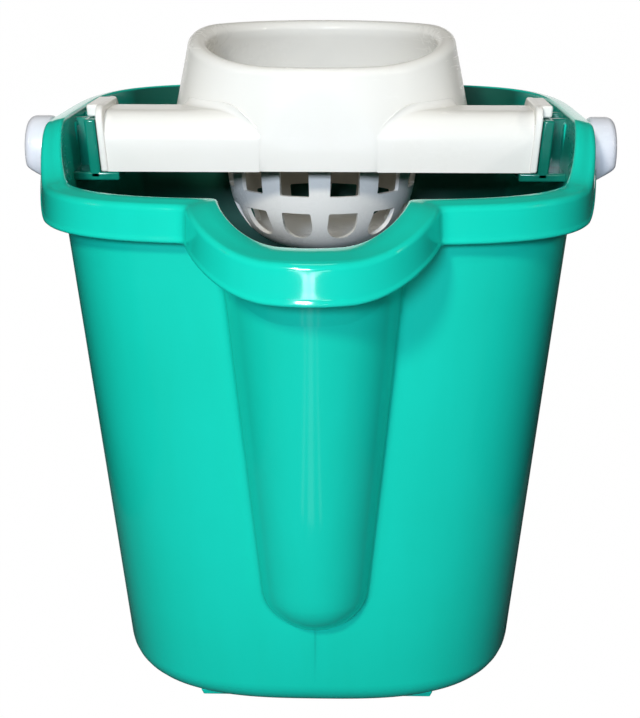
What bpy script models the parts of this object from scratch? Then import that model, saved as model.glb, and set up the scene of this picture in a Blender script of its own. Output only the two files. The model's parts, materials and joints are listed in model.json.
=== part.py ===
"""Mop bucket with a lift-out wringer and a folding bail, as separate closed solids in metres."""

import math

import bmesh
import bpy

MM = 0.001
SEAT_GAP = 0.3 * MM
STAGGER = 0.12 * MM

# Tub: a rounded square in plan that narrows downwards, more at the front than at the sides
RIM_Z = 322.0 * MM
FRONT_DROP = 25.0 * MM
FRONT_RIM_Z = RIM_Z - FRONT_DROP
SPOUT_DIP = 14.0 * MM
TOP_HALF_X = 138.0 * MM
TOP_HALF_Y = 142.0 * MM
TOP_CENTRE_Y = -10.0 * MM
TOP_SQUARENESS = 3.9
BASE_Z = 2.5 * MM
BASE_HALF_X = 113.0 * MM
BASE_HALF_Y = 110.0 * MM
BASE_CENTRE_Y = 1.0 * MM
BASE_SQUARENESS = 2.9
BASE_FILLET = 16.0 * MM
WALL = 2.6 * MM
FLOOR = 3.2 * MM
RAMP_FROM_Y = -108.0 * MM
RAMP_TO_Y = -50.0 * MM

# Half-cone channel that runs down the front wall below the spout
CHANNEL_LOW_Z = 85.0 * MM
CHANNEL_LOW_R = 30.1 * MM
CHANNEL_FLARE = 0.0845
CHANNEL_END_R = 30.1 * MM
CHANNEL_SET_IN = 8.0 * MM
CHANNEL_LEAST_R = 8.0 * MM

# Rolled rim: a flat band with a skirt that hangs from its outer edge
BAND = 9.5 * MM
SPOUT_REACH = 4.0 * MM
SPOUT_LEAN = 6.5 * MM
SPOUT_FLARE = 5.6 * MM
SKIRT = 20.0 * MM
SPOUT_SKIRT = 4.0 * MM
RIM_SHEET = 2.6 * MM
RIM_ROUND = 3.5 * MM

FRONT_COLUMNS = 16
SIDE_COLUMNS = 22
EDGE_STEPS = 3

# Feet under the base
FOOT_FROM_SIDE = 57.0 * MM
FOOT_FROM_END = 29.0 * MM
FOOT_X = BASE_HALF_X - FOOT_FROM_SIDE
FOOT_BACK_Y = BASE_HALF_Y - FOOT_FROM_END
FOOT_FRONT_Y = -FOOT_BACK_Y
FOOT_WIDE = 20.0 * MM
FOOT_DEEP = 22.0 * MM
FOOT_DRAFT = 0.86

# Wringer head: a tapered collar behind a hollow bridge bar with end plates
COLLAR_R = 87.5 * MM
COLLAR_FROM_BACK = 10.5 * MM
COLLAR_Y = TOP_CENTRE_Y + TOP_HALF_Y - COLLAR_R - COLLAR_FROM_BACK
COLLAR_BEND_SUNK = 12.5 * MM
COLLAR_BEND_Z = RIM_Z - COLLAR_BEND_SUNK
COLLAR_TAPER = 0.213
COLLAR_STEPS = 72
HEAD_SUNK = 29.0 * MM
HEAD_LOW_Z = RIM_Z - HEAD_SUNK
MOUTH_FRONT_RISE = 26.0 * MM
MOUTH_BACK_RISE = 42.0 * MM
MOUTH_FRONT_Z = RIM_Z + MOUTH_FRONT_RISE
MOUTH_BACK_Z = RIM_Z + MOUTH_BACK_RISE
MOUTH_RAMP = (math.radians(20.0), math.radians(118.0))
HEAD_WALL = 2.6 * MM
LIP_ROLL = 5.5 * MM
LIP_STEPS = 8
BAR_AHEAD = 81.0 * MM
BAR_DEEP = 49.0 * MM
BAR_FRONT_Y = COLLAR_Y - BAR_AHEAD
BAR_BACK_Y = BAR_FRONT_Y + BAR_DEEP
BAR_RISE = 2.5 * MM
BAR_TOP_Z = RIM_Z + BAR_RISE
BAR_FRONT_ROUND = 16.0 * MM
BAR_BACK_ROUND = 10.0 * MM
PLATE_SET_IN = 24.4 * MM
PLATE_X = TOP_HALF_X - PLATE_SET_IN
PLATE = 3.8 * MM
PLATE_AHEAD = 1.0 * MM
PLATE_BEHIND = 8.0 * MM
PLATE_FRONT_Y = BAR_FRONT_Y - PLATE_AHEAD
PLATE_BACK_Y = BAR_BACK_Y + PLATE_BEHIND
PLATE_RISE = 6.0 * MM
PLATE_TOP_Z = RIM_Z + PLATE_RISE
PLATE_ROUND = 9.0 * MM
PLATE_LEAN = (TOP_HALF_X - BASE_HALF_X) / RIM_Z
HOOK_REACH = 6.0 * MM
HOOK_STEP = 1.0 * MM
DECK_SUNK = 23.5 * MM
DECK_Z = RIM_Z - DECK_SUNK
DECK = 3.0 * MM
DECK_MARGIN = 1.5 * MM
NEST_CLEAR = 0.4 * MM
NEST_SHORT = 1.0 * MM
TAB_WIDE = 38.0 * MM
TAB = 3.4 * MM

# Basket: a slotted cup under the deck of the head
CUP_R = 56.3 * MM
CUP_TAPER_R = 53.0 * MM
CUP_LOW_R = 45.5 * MM
CUP_FLANGE_R = 68.0 * MM
CUP_FLANGE = 2.8 * MM
CUP_WALL = 2.6 * MM
CUP_STRAIGHT = 18.5 * MM
CUP_TAPER = 17.0 * MM
CUP_LOWER = 13.0 * MM
CUP_BOTTOM = 14.0 * MM
CUP_STRAIGHT_Z = DECK_Z - CUP_STRAIGHT
CUP_TAPER_Z = CUP_STRAIGHT_Z - CUP_TAPER
CUP_LOW_Z = CUP_TAPER_Z - CUP_LOWER
CUP_BOTTOM_Z = CUP_LOW_Z - CUP_BOTTOM
SLOTS = 12
SLOT_ANGLE = math.radians(17.5)
SLOT_FROM_DECK = 8.5 * MM
UPPER_SLOT = 15.5 * MM
SLOT_BAND = 10.0 * MM
LOWER_SLOT = 16.0 * MM
UPPER_SLOT_Z = (DECK_Z - SLOT_FROM_DECK - UPPER_SLOT, DECK_Z - SLOT_FROM_DECK)
LOWER_SLOT_Z = (UPPER_SLOT_Z[0] - SLOT_BAND - LOWER_SLOT, UPPER_SLOT_Z[0] - SLOT_BAND)
DRAIN_R = 4.0 * MM

# Guides inside the tub that carry the end plates
GUIDE_INSET = 26.0 * MM
GUIDE_BACK_INSET = 5.0 * MM
GUIDE_Y = (PLATE_FRONT_Y + GUIDE_INSET, PLATE_BACK_Y - GUIDE_BACK_INSET)
GUIDE_THICK = 4.0 * MM
GUIDE_CLEAR = 0.6 * MM
GUIDE_STEP = 2.0 * MM
RAIL = 5.9 * MM
RAIL_INSET = 1.0 * MM
LEDGE = 4.5 * MM
LEDGE_REACH = 5.6 * MM
LEDGE_INNER_X = PLATE_X - LEDGE_REACH
GUIDE_TOP_Z = RIM_Z - 0.3 * RIM_ROUND

# Bail and the pivots it turns on
PIVOT_SUNK = 22.0 * MM
PIVOT_Y = TOP_CENTRE_Y
PIVOT_Z = RIM_Z - PIVOT_SUNK
PEG_R = 6.0 * MM
PEG_CLEAR = 0.35 * MM
BOSS_BEYOND = 0.5 * MM
BOSS_END_X = TOP_HALF_X + BAND + BOSS_BEYOND
BOSS_HALF_Y = 17.0 * MM
BOSS_HALF_Z = 17.0 * MM
BOSS_Z = (PIVOT_Z - BOSS_HALF_Z, PIVOT_Z + BOSS_HALF_Z)
PEG_LONG = 11.0 * MM
PEG_END_X = BOSS_END_X + PEG_LONG
HUB_R = 19.5 * MM
HUB_GAP = 1.0 * MM
HUB_WIDE = 15.0 * MM
HUB_ROUND = 2.5 * MM
PEG_END_CLEAR = 1.0 * MM
BAIL_THICK = 5.0 * MM
BAIL_SIDE_CLEAR = 3.5 * MM
BAIL_BACK_CLEAR = 6.5 * MM
BAIL_HALF_X = BOSS_END_X + BAIL_SIDE_CLEAR + BAIL_THICK
BAIL_REACH = TOP_HALF_Y + BAND + BAIL_BACK_CLEAR + BAIL_THICK
BAIL_SQUARENESS = 4.2
BAIL_WIDE = 8.0 * MM
BAIL_STEPS = 40
BAIL_REST_GAP = 0.5 * MM


def clear_scene():
    for obj in list(bpy.data.objects):
        bpy.data.objects.remove(obj, do_unlink=True)
    for collection in list(bpy.data.collections):
        bpy.data.collections.remove(collection)


def new_collection(name, hidden=False):
    collection = bpy.data.collections.new(name)
    bpy.context.scene.collection.children.link(collection)
    collection.hide_render = hidden
    return collection


def material(name, colour, roughness):
    found = bpy.data.materials.new(name)
    found.use_nodes = True
    shader = found.node_tree.nodes["Principled BSDF"]
    shader.inputs["Base Color"].default_value = (*colour, 1.0)
    shader.inputs["Roughness"].default_value = roughness
    return found


def add_mesh(name, collection, points, faces, look=None):
    mesh = bpy.data.meshes.new(name)
    mesh.from_pydata([tuple(p) for p in points], [], faces)
    mesh.update()
    obj = bpy.data.objects.new(name, mesh)
    collection.objects.link(obj)
    obj.location.y = SHIFT_Y
    if look is not None:
        mesh.materials.append(look)
    return obj


def add_helper(name, points, faces):
    obj = add_mesh(name, CUTTERS, points, faces)
    obj.hide_render = True
    obj.display_type = "WIRE"
    return obj


def combine(obj, helper, operation):
    modifier = obj.modifiers.new(operation.title() + " " + helper.name, "BOOLEAN")
    modifier.operation = operation
    modifier.object = helper
    modifier.solver = "EXACT"


def between(low, high, share):
    return low + (high - low) * share


def ease(share):
    share = min(1.0, max(0.0, share))
    return share * share * (3.0 - 2.0 * share)


def rounded_square(half_x, half_y, squareness, angle):
    """Distance from the middle to a rounded square, at an angle measured from the front."""
    across = abs(math.sin(angle)) / half_x
    along = abs(math.cos(angle)) / half_y
    return (across**squareness + along**squareness) ** (-1.0 / squareness)


def channel_end_rise(radius):
    """Height above the channel's lowest point at which its round end has this radius."""
    share = radius / CHANNEL_LOW_R
    return CHANNEL_END_R * (1.0 - math.sqrt(1.0 - share * share))


class Level:
    """The tub's plan at one height, grown outwards by a given amount."""

    def __init__(self, z, grow=0.0, channel_grow=None, channel_forward=0.0):
        share = z / RIM_Z
        self.half_x = between(BASE_HALF_X, TOP_HALF_X, share) + grow
        self.half_y = between(BASE_HALF_Y, TOP_HALF_Y, share) + grow
        self.squareness = between(BASE_SQUARENESS, TOP_SQUARENESS, share)
        self.centre_y = between(BASE_CENTRE_Y, TOP_CENTRE_Y, share)
        wall_y = self.half_y - grow
        self.channel_at = wall_y - CHANNEL_SET_IN + channel_forward
        radius = CHANNEL_LOW_R + CHANNEL_FLARE * (z - CHANNEL_LOW_Z)
        if z < CHANNEL_LOW_Z:
            drop = (CHANNEL_LOW_Z - z) / CHANNEL_END_R
            radius = CHANNEL_LOW_R * math.sqrt(max(0.0, 1.0 - drop * drop))
        self.channel_r = max(0.0, radius + (grow if channel_grow is None else channel_grow))
        if z <= CHANNEL_LOW_Z - CHANNEL_END_R:
            self.channel_r = 0.0

    def wall(self, angle):
        return rounded_square(self.half_x, self.half_y, self.squareness, angle)

    def channel(self, angle):
        """Distance to the far side of the channel's circle, or zero where the ray misses it."""
        offset = self.channel_at * math.sin(angle)
        if self.channel_r <= abs(offset):
            return 0.0
        return self.channel_at * math.cos(angle) + math.sqrt(self.channel_r**2 - offset**2)

    def crease(self):
        """The angle round the channel's circle where it meets the wall."""
        low, high = 0.0, 0.75 * math.pi
        for _ in range(40):
            middle = 0.5 * (low + high)
            x = self.channel_r * math.sin(middle)
            y = self.channel_at + self.channel_r * math.cos(middle)
            outside = math.hypot(x, y) > self.wall(math.atan2(x, y))
            low, high = (middle, high) if outside else (low, middle)
        return 0.5 * (low + high)

    def front_angles(self):
        """Angles of the front columns, spaced evenly round the channel."""
        turn = self.crease()
        found = []
        for i in range(FRONT_COLUMNS + 1):
            around = turn * (2.0 * i / FRONT_COLUMNS - 1.0)
            x = self.channel_r * math.sin(around)
            y = self.channel_at + self.channel_r * math.cos(around)
            found.append(math.atan2(x, y))
        return found

    def angles(self):
        shaped = self
        if self.channel_r < CHANNEL_LEAST_R:
            shaped = Level(CHANNEL_LOW_Z - CHANNEL_END_R + channel_end_rise(CHANNEL_LEAST_R))
        front = shaped.front_angles()
        edge = front[-1]
        side = []
        for i in range(1, SIDE_COLUMNS + 1):
            share = i / SIDE_COLUMNS
            side.append(between(edge, math.pi, share + 0.12 * math.sin(math.pi * share) * (share - 1.0)))
        return front + side + [-angle for angle in reversed(side[:-1])]

    def point(self, column):
        angle = self.angles()[column]
        reach = max(self.wall(angle), self.channel(angle))
        return reach * math.sin(angle), self.centre_y - reach * math.cos(angle)

    def ring(self):
        points = []
        for angle in self.angles():
            reach = max(self.wall(angle), self.channel(angle))
            points.append((reach * math.sin(angle), self.centre_y - reach * math.cos(angle)))
        return points


COLUMNS = FRONT_COLUMNS + 1 + 2 * SIDE_COLUMNS - 1


def rim_height(x, y, column):
    """Top of the rim: low along the front, dipped at the spout, raised at the sides and the back."""
    height = between(FRONT_RIM_Z, RIM_Z, ease((y - RAMP_FROM_Y) / (RAMP_TO_Y - RAMP_FROM_Y)))
    if column <= FRONT_COLUMNS:
        across = abs(2.0 * column / FRONT_COLUMNS - 1.0)
        height -= SPOUT_DIP * ease(1.25 * (1.0 - across))
    return height


def rim_heights():
    ring = Level(FRONT_RIM_Z).ring()
    return [rim_height(x, y, column) for column, (x, y) in enumerate(ring)]


def spout_share(column):
    """One at the middle of the spout, zero along the rest of the rim."""
    if column > FRONT_COLUMNS:
        return 0.0
    across = 2.0 * column / FRONT_COLUMNS - 1.0
    return 1.0 - across * across


def row_at(heights, grow, extra=0.0, flare=0.0):
    """One row of the tub: every column at its own height, grown by an amount, further out at the spout."""
    row = []
    for column, z in enumerate(heights):
        more = extra * spout_share(column)
        level = Level(z, grow, channel_grow=grow + flare, channel_forward=more)
        x, y = level.point(column)
        row.append((x, y, z))
    return row


def flat_row(z, grow):
    return [(x, y, z) for x, y in Level(z, grow).ring()]


def lowered(heights, by):
    return [z - by for z in heights]


def tub_rows():
    """The tub's section, from the middle of the underside round the rim to the middle of the floor."""
    tops = rim_heights()
    rows = []
    for i in range(EDGE_STEPS + 1):
        turn = 0.5 * math.pi * i / EDGE_STEPS
        inset = BASE_FILLET * (1.0 - math.sin(turn))
        rows.append(flat_row(BASE_Z + BASE_FILLET * (1.0 - math.cos(turn)), -inset))
    wall_levels = []
    end_low = CHANNEL_LOW_Z - CHANNEL_END_R
    for share in (0.0, 0.039, 0.1, 0.2, 0.34, 0.52, 0.74, 1.0):
        wall_levels.append(between(end_low, CHANNEL_LOW_Z, share))
    for share in (0.3, 0.6, 0.85):
        wall_levels.append(between(CHANNEL_LOW_Z, FRONT_RIM_Z - SKIRT, share))
    for z in wall_levels:
        rows.append(flat_row(z, 0.0))
    low_wall = lowered(tops, 2.0 * SKIRT)
    rows.append(row_at(low_wall, 0.0))
    out = SPOUT_LEAN + SPOUT_REACH
    rows.append(row_at(lowered(tops, RIM_SHEET), 0.0, SPOUT_LEAN))
    rows.append(row_at(lowered(tops, RIM_SHEET), BAND - RIM_SHEET, out, SPOUT_FLARE))
    hem = [z - SKIRT - SPOUT_SKIRT * spout_share(column) for column, z in enumerate(tops)]
    rows.append(row_at(hem, BAND - RIM_SHEET, out, SPOUT_FLARE))
    rows.append(row_at(hem, BAND, out, SPOUT_FLARE))
    for i in range(EDGE_STEPS + 1):
        turn = 0.5 * math.pi * i / EDGE_STEPS
        drop = RIM_ROUND * (1.0 - math.sin(turn))
        inset = RIM_ROUND * (1.0 - math.cos(turn))
        rows.append(row_at(lowered(tops, drop), BAND - inset, out, SPOUT_FLARE))
    rows.append(row_at(tops, -WALL + RIM_ROUND, SPOUT_LEAN))
    rows.append(row_at(lowered(tops, 0.3 * RIM_ROUND), -WALL + 0.3 * RIM_ROUND, SPOUT_LEAN))
    rows.append(row_at(lowered(tops, RIM_ROUND), -WALL, SPOUT_LEAN))
    rows.append(row_at(low_wall, -WALL))
    for z in reversed(wall_levels):
        rows.append(flat_row(z, -WALL))
    for i in reversed(range(EDGE_STEPS + 1)):
        turn = 0.5 * math.pi * i / EDGE_STEPS
        inset = BASE_FILLET * (1.0 - math.sin(turn))
        lift = (BASE_FILLET - FLOOR) * (1.0 - math.cos(turn)) + FLOOR
        rows.append(flat_row(BASE_Z + lift, -WALL - inset))
    return rows


def loft(rows, first_pole, last_pole):
    """Points and faces of closed rings joined in order, each end closed to a single point."""
    count = len(rows[0])
    points = [p for row in rows for p in row] + [first_pole, last_pole]
    faces = []
    for row in range(len(rows) - 1):
        for i in range(count):
            j = (i + 1) % count
            below, above = row * count, (row + 1) * count
            faces.append((below + i, below + j, above + j, above + i))
    first, last = len(points) - 2, len(points) - 1
    top = (len(rows) - 1) * count
    for i in range(count):
        j = (i + 1) % count
        faces.append((j, i, first))
        faces.append((top + i, top + j, last))
    return points, faces


def box_mesh(low, high, top_scale=1.0):
    """A box, its lower face scaled about its own middle."""
    cx, cy = 0.5 * (low[0] + high[0]), 0.5 * (low[1] + high[1])
    points = []
    for z, scale in ((low[2], top_scale), (high[2], 1.0)):
        for x, y in ((low[0], low[1]), (high[0], low[1]), (high[0], high[1]), (low[0], high[1])):
            points.append((cx + (x - cx) * scale, cy + (y - cy) * scale, z))
    faces = [(3, 2, 1, 0), (4, 5, 6, 7), (0, 1, 5, 4), (1, 2, 6, 5), (2, 3, 7, 6), (3, 0, 4, 7)]
    return points, faces


def prism_x(profile, low_x, high_x):
    """A closed profile in Y and Z, counter-clockwise seen from +X, drawn out along X."""
    count = len(profile)
    points = [(low_x, y, z) for y, z in profile] + [(high_x, y, z) for y, z in profile]
    faces = [tuple(reversed(range(count))), tuple(range(count, 2 * count))]
    for i in range(count):
        j = (i + 1) % count
        faces.append((i, j, count + j, count + i))
    return points, faces


def leaned(mesh, side):
    """Shears a mesh outwards with height, by the slope of the tub's side wall."""
    points, faces = mesh
    return [(x + side * PLATE_LEAN * (z - HEAD_LOW_Z), y, z) for x, y, z in points], faces


def turned(profile, steps, centre_y):
    """A closed profile of radius and height, turned about the vertical through the collar."""
    points = []
    for step in range(steps):
        angle = 2.0 * math.pi * step / steps
        for r, z in profile:
            points.append((r * math.sin(angle), centre_y - r * math.cos(angle), z))
    count = len(profile)
    faces = []
    for step in range(steps):
        here, there = step * count, (step + 1) % steps * count
        for i in range(count):
            j = (i + 1) % count
            faces.append((here + i, there + i, there + j, here + j))
    return points, faces


def cylinder_x(radius, low_x, high_x, y, z, steps=24):
    profile = []
    for i in range(steps):
        angle = 2.0 * math.pi * i / steps
        profile.append((y + radius * math.cos(angle), z + radius * math.sin(angle)))
    return prism_x(profile, low_x, high_x)


def quarter(centre, radius, start, steps=6):
    """Points of a quarter circle in Y and Z, anticlockwise from a start angle."""
    found = []
    for i in range(steps + 1):
        angle = start + 0.5 * math.pi * i / steps
        found.append((centre[0] + radius * math.cos(angle), centre[1] + radius * math.sin(angle)))
    return found


def wall_x(y, z):
    """Half-width of the tub's outer wall at a place along its depth."""
    level = Level(z)
    low, high = 0.0, level.half_x
    for _ in range(40):
        middle = 0.5 * (low + high)
        angle = math.atan2(middle, level.centre_y - y)
        inside = math.hypot(middle, level.centre_y - y) < level.wall(angle)
        low, high = (middle, high) if inside else (low, middle)
    return low


def build_bucket():
    rows = tub_rows()
    under = (0.0, BASE_CENTRE_Y, BASE_Z)
    floor = (0.0, BASE_CENTRE_Y, BASE_Z + FLOOR)
    bucket = add_mesh("bucket", PARTS, *loft(rows, under, floor), GREEN)
    for y, label in ((FOOT_FRONT_Y, "front"), (FOOT_BACK_Y, "back")):
        for side, name in ((-1, "left"), (1, "right")):
            low = (side * FOOT_X - FOOT_WIDE / 2, y - FOOT_DEEP / 2, 0.0)
            high = (side * FOOT_X + FOOT_WIDE / 2, y + FOOT_DEEP / 2, BASE_Z + 0.5 * FLOOR)
            foot = add_helper("foot_" + label + "_" + name, *box_mesh(low, high, FOOT_DRAFT))
            combine(bucket, foot, "UNION")
    for side, name in ((-1, "left"), (1, "right")):
        near = PLATE_X + PLATE + GUIDE_CLEAR
        rail_y = (PLATE_FRONT_Y + RAIL_INSET, GUIDE_Y[1] + GUIDE_THICK + RAIL_INSET)
        ends = sorted((side * near, side * (near + RAIL)))
        low = (ends[0], rail_y[0], HEAD_LOW_Z - SEAT_GAP - 0.5 * LEDGE)
        rail = box_mesh(low, (ends[1], rail_y[1], GUIDE_TOP_Z))
        combine(bucket, add_helper("rail_" + name, *leaned(rail, side)), "UNION")
        for y, label in zip(GUIDE_Y, ("front", "back")):
            wall_in = wall_x(y + GUIDE_THICK / 2, HEAD_LOW_Z) - 0.6 * WALL
            ends = sorted((side * (near + 0.5 * RAIL), side * wall_in))
            low = (ends[0], y, HEAD_LOW_Z - SEAT_GAP - 0.7 * LEDGE)
            high = (ends[1], y + GUIDE_THICK, GUIDE_TOP_Z - GUIDE_STEP)
            guide = add_helper("guide_" + label + "_" + name, *leaned(box_mesh(low, high), side))
            combine(bucket, guide, "UNION")
        ends = sorted((side * LEDGE_INNER_X, side * (wall_x(rail_y[0], HEAD_LOW_Z - LEDGE) - 0.6 * WALL)))
        low = (ends[0], rail_y[0] - STAGGER, HEAD_LOW_Z - SEAT_GAP - LEDGE)
        high = (ends[1], rail_y[1] + STAGGER, HEAD_LOW_Z - SEAT_GAP)
        combine(bucket, add_helper("ledge_" + name, *box_mesh(low, high)), "UNION")
        ends = sorted((side * (wall_x(PIVOT_Y, BOSS_Z[0]) - 0.5 * WALL), side * BOSS_END_X))
        low = (ends[0], PIVOT_Y - BOSS_HALF_Y, BOSS_Z[0])
        high = (ends[1], PIVOT_Y + BOSS_HALF_Y, BOSS_Z[1])
        combine(bucket, add_helper("boss_" + name, *box_mesh(low, high)), "UNION")
        ends = sorted((side * (BOSS_END_X - 4.0 * MM), side * PEG_END_X))
        peg = add_helper("peg_" + name, *cylinder_x(PEG_R, ends[0], ends[1], PIVOT_Y, PIVOT_Z))
        combine(bucket, peg, "UNION")
    return bucket


def collar_radius(z):
    """Outer radius of the collar: upright below the bend, tapered above it."""
    return COLLAR_R - COLLAR_TAPER * max(0.0, z - COLLAR_BEND_Z)


def mouth_height(angle):
    """Crest of the collar's lip: low at the front, raised at the sides and the back."""
    share = (angle - MOUTH_RAMP[0]) / (MOUTH_RAMP[1] - MOUTH_RAMP[0])
    return between(MOUTH_FRONT_Z, MOUTH_BACK_Z, ease(share))


def collar_section(angle):
    """The head's turned part at one angle: radius, height and how far behind the bar's front it stays."""
    front = STAGGER
    within = STAGGER + HEAD_WALL
    low = HEAD_LOW_Z + 2.0 * STAGGER
    lip_z = mouth_height(angle) - LIP_ROLL
    lip_r = collar_radius(lip_z) - LIP_ROLL
    heights = [low, COLLAR_BEND_Z] + [between(COLLAR_BEND_Z, lip_z, share) for share in (0.25, 0.5, 0.75)]
    found = [(collar_radius(z), z, front) for z in heights]
    for i in range(LIP_STEPS + 1):
        turn = math.pi * i / LIP_STEPS
        found.append((lip_r + LIP_ROLL * math.cos(turn), lip_z + LIP_ROLL * math.sin(turn), front))
    top = DECK_Z + DECK
    for share in (0.15, 0.35, 0.65, 1.0):
        z = between(lip_z, top, share)
        thick = between(HEAD_WALL, 2.0 * LIP_ROLL, (1.0 - share) ** 2)
        found.append((collar_radius(z) - thick, z, within))
    hole = CUP_R + DECK_MARGIN
    nest = CUP_FLANGE_R + NEST_CLEAR
    nest_low = HEAD_LOW_Z + NEST_SHORT
    for r, z in ((hole, top), (hole, DECK_Z), (nest, DECK_Z), (nest, nest_low)):
        found.append((r, z, within))
    for r, z in ((nest + HEAD_WALL, nest_low), (nest + HEAD_WALL, DECK_Z)):
        found.append((r, z, within))
    for z in (DECK_Z, low):
        found.append((collar_radius(z) - HEAD_WALL, z, within))
    return found


def collar_grid():
    """The turned part of the head, cut off flat along the front of the bar."""
    points, faces = [], []
    for step in range(COLLAR_STEPS):
        angle = 2.0 * math.pi * step / COLLAR_STEPS
        section = collar_section(min(angle, 2.0 * math.pi - angle))
        for r, z, behind in section:
            y = max(COLLAR_Y - r * math.cos(angle), BAR_FRONT_Y + behind)
            points.append((r * math.sin(angle), y, z))
    count = len(section)
    for step in range(COLLAR_STEPS):
        here, there = step * count, (step + 1) % COLLAR_STEPS * count
        for i in range(count):
            j = (i + 1) % count
            faces.append((here + i, there + i, there + j, here + j))
    return points, faces


def collar_core():
    """What the bar gives up to the inside of the collar, as far as the middle of the collar's wall."""
    rows = []
    limit = BAR_FRONT_Y + STAGGER + 0.5 * HEAD_WALL
    heights = (HEAD_LOW_Z - HEAD_WALL, COLLAR_BEND_Z, BAR_TOP_Z + HEAD_WALL)
    for z in heights:
        r = collar_radius(z) - 0.5 * HEAD_WALL
        row = []
        for step in range(COLLAR_STEPS):
            angle = 2.0 * math.pi * step / COLLAR_STEPS
            row.append((r * math.sin(angle), max(COLLAR_Y - r * math.cos(angle), limit), z))
        rows.append(row)
    return loft(rows, (0.0, COLLAR_Y, heights[0]), (0.0, COLLAR_Y, heights[-1]))


def bar_profile(inset):
    """The bridge bar's section: flat front and back with rounded top edges."""
    front, back = BAR_FRONT_Y + inset, BAR_BACK_Y - inset
    top = BAR_TOP_Z - inset
    low = HEAD_LOW_Z + STAGGER if inset == 0.0 else HEAD_LOW_Z - inset
    front_r, back_r = BAR_FRONT_ROUND - inset, BAR_BACK_ROUND - inset
    profile = [(front, low), (back, low)]
    profile += quarter((back - back_r, top - back_r), back_r, 0.0)
    profile += quarter((front + front_r, top - front_r), front_r, 0.5 * math.pi)
    return profile


def plate_profile():
    profile = [(PLATE_FRONT_Y, HEAD_LOW_Z), (PLATE_BACK_Y, HEAD_LOW_Z)]
    profile += quarter((PLATE_BACK_Y - PLATE_ROUND, PLATE_TOP_Z - PLATE_ROUND), PLATE_ROUND, 0.0)
    profile += quarter((PLATE_FRONT_Y + PLATE_ROUND, PLATE_TOP_Z - PLATE_ROUND), PLATE_ROUND, 0.5 * math.pi)
    return profile


def build_head():
    wide = PLATE_X + 0.84 * PLATE
    head = add_mesh("wringer_head", PARTS, *prism_x(bar_profile(0.0), -wide, wide), HEAD_WHITE)
    hollow_x = PLATE_X - 4.0 * STAGGER
    hollow = add_helper("bar_hollow", *prism_x(bar_profile(HEAD_WALL), -hollow_x, hollow_x))
    combine(head, hollow, "DIFFERENCE")
    combine(head, add_helper("collar_core", *collar_core()), "DIFFERENCE")
    combine(head, add_helper("collar", *collar_grid()), "UNION")
    for side, name in ((-1, "left"), (1, "right")):
        ends = sorted((side * PLATE_X, side * (PLATE_X + PLATE)))
        plate = add_helper("plate_" + name, *leaned(prism_x(plate_profile(), ends[0], ends[1]), side))
        combine(head, plate, "UNION")
        ends = sorted((side * (PLATE_X + 0.5 * PLATE), side * (PLATE_X + PLATE + HOOK_REACH)))
        low = (ends[0], PLATE_FRONT_Y + PLATE_ROUND + HOOK_STEP, GUIDE_TOP_Z + SEAT_GAP)
        high = (ends[1], PLATE_BACK_Y - PLATE_ROUND, PLATE_TOP_Z - STAGGER)
        hook = add_helper("hook_" + name, *leaned(box_mesh(low, high), side))
        combine(head, hook, "UNION")
    tab_from = COLLAR_Y + collar_radius(RIM_Z) - 0.7 * HEAD_WALL
    low = (-0.5 * TAB_WIDE, tab_from, RIM_Z + SEAT_GAP)
    high = (0.5 * TAB_WIDE, rim_back() - RIM_ROUND, RIM_Z + SEAT_GAP + TAB)
    combine(head, add_helper("back_tab", *box_mesh(low, high)), "UNION")


def slot_prisms(low, high, rounded):
    """Radial cutters, one for each slot of a row, square above and round below where asked."""
    half = CUP_R * math.sin(0.5 * SLOT_ANGLE)
    outline = []
    if rounded:
        bend = 0.62 * half
        for i in range(5):
            angle = math.pi + 0.5 * math.pi * i / 4
            outline.append((-half + bend + bend * math.cos(angle), low + bend + bend * math.sin(angle)))
        for i in range(5):
            angle = 1.5 * math.pi + 0.5 * math.pi * i / 4
            outline.append((half - bend + bend * math.cos(angle), low + bend + bend * math.sin(angle)))
    else:
        outline += [(-half, low), (half, low)]
    outline += [(half, high), (-half, high)]
    points, faces = [], []
    count = len(outline)
    for slot in range(SLOTS):
        angle = 2.0 * math.pi * (slot + 0.5) / SLOTS
        first = len(points)
        for r in (0.5 * CUP_R, 1.15 * CUP_R):
            for across, z in outline:
                x = r * math.sin(angle) + across * math.cos(angle)
                y = COLLAR_Y - r * math.cos(angle) + across * math.sin(angle)
                points.append((x, y, z))
        faces.append(tuple(first + i for i in reversed(range(count))))
        faces.append(tuple(first + count + i for i in range(count)))
        for i in range(count):
            j = (i + 1) % count
            faces.append((first + i, first + j, first + count + j, first + count + i))
    return points, faces


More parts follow.
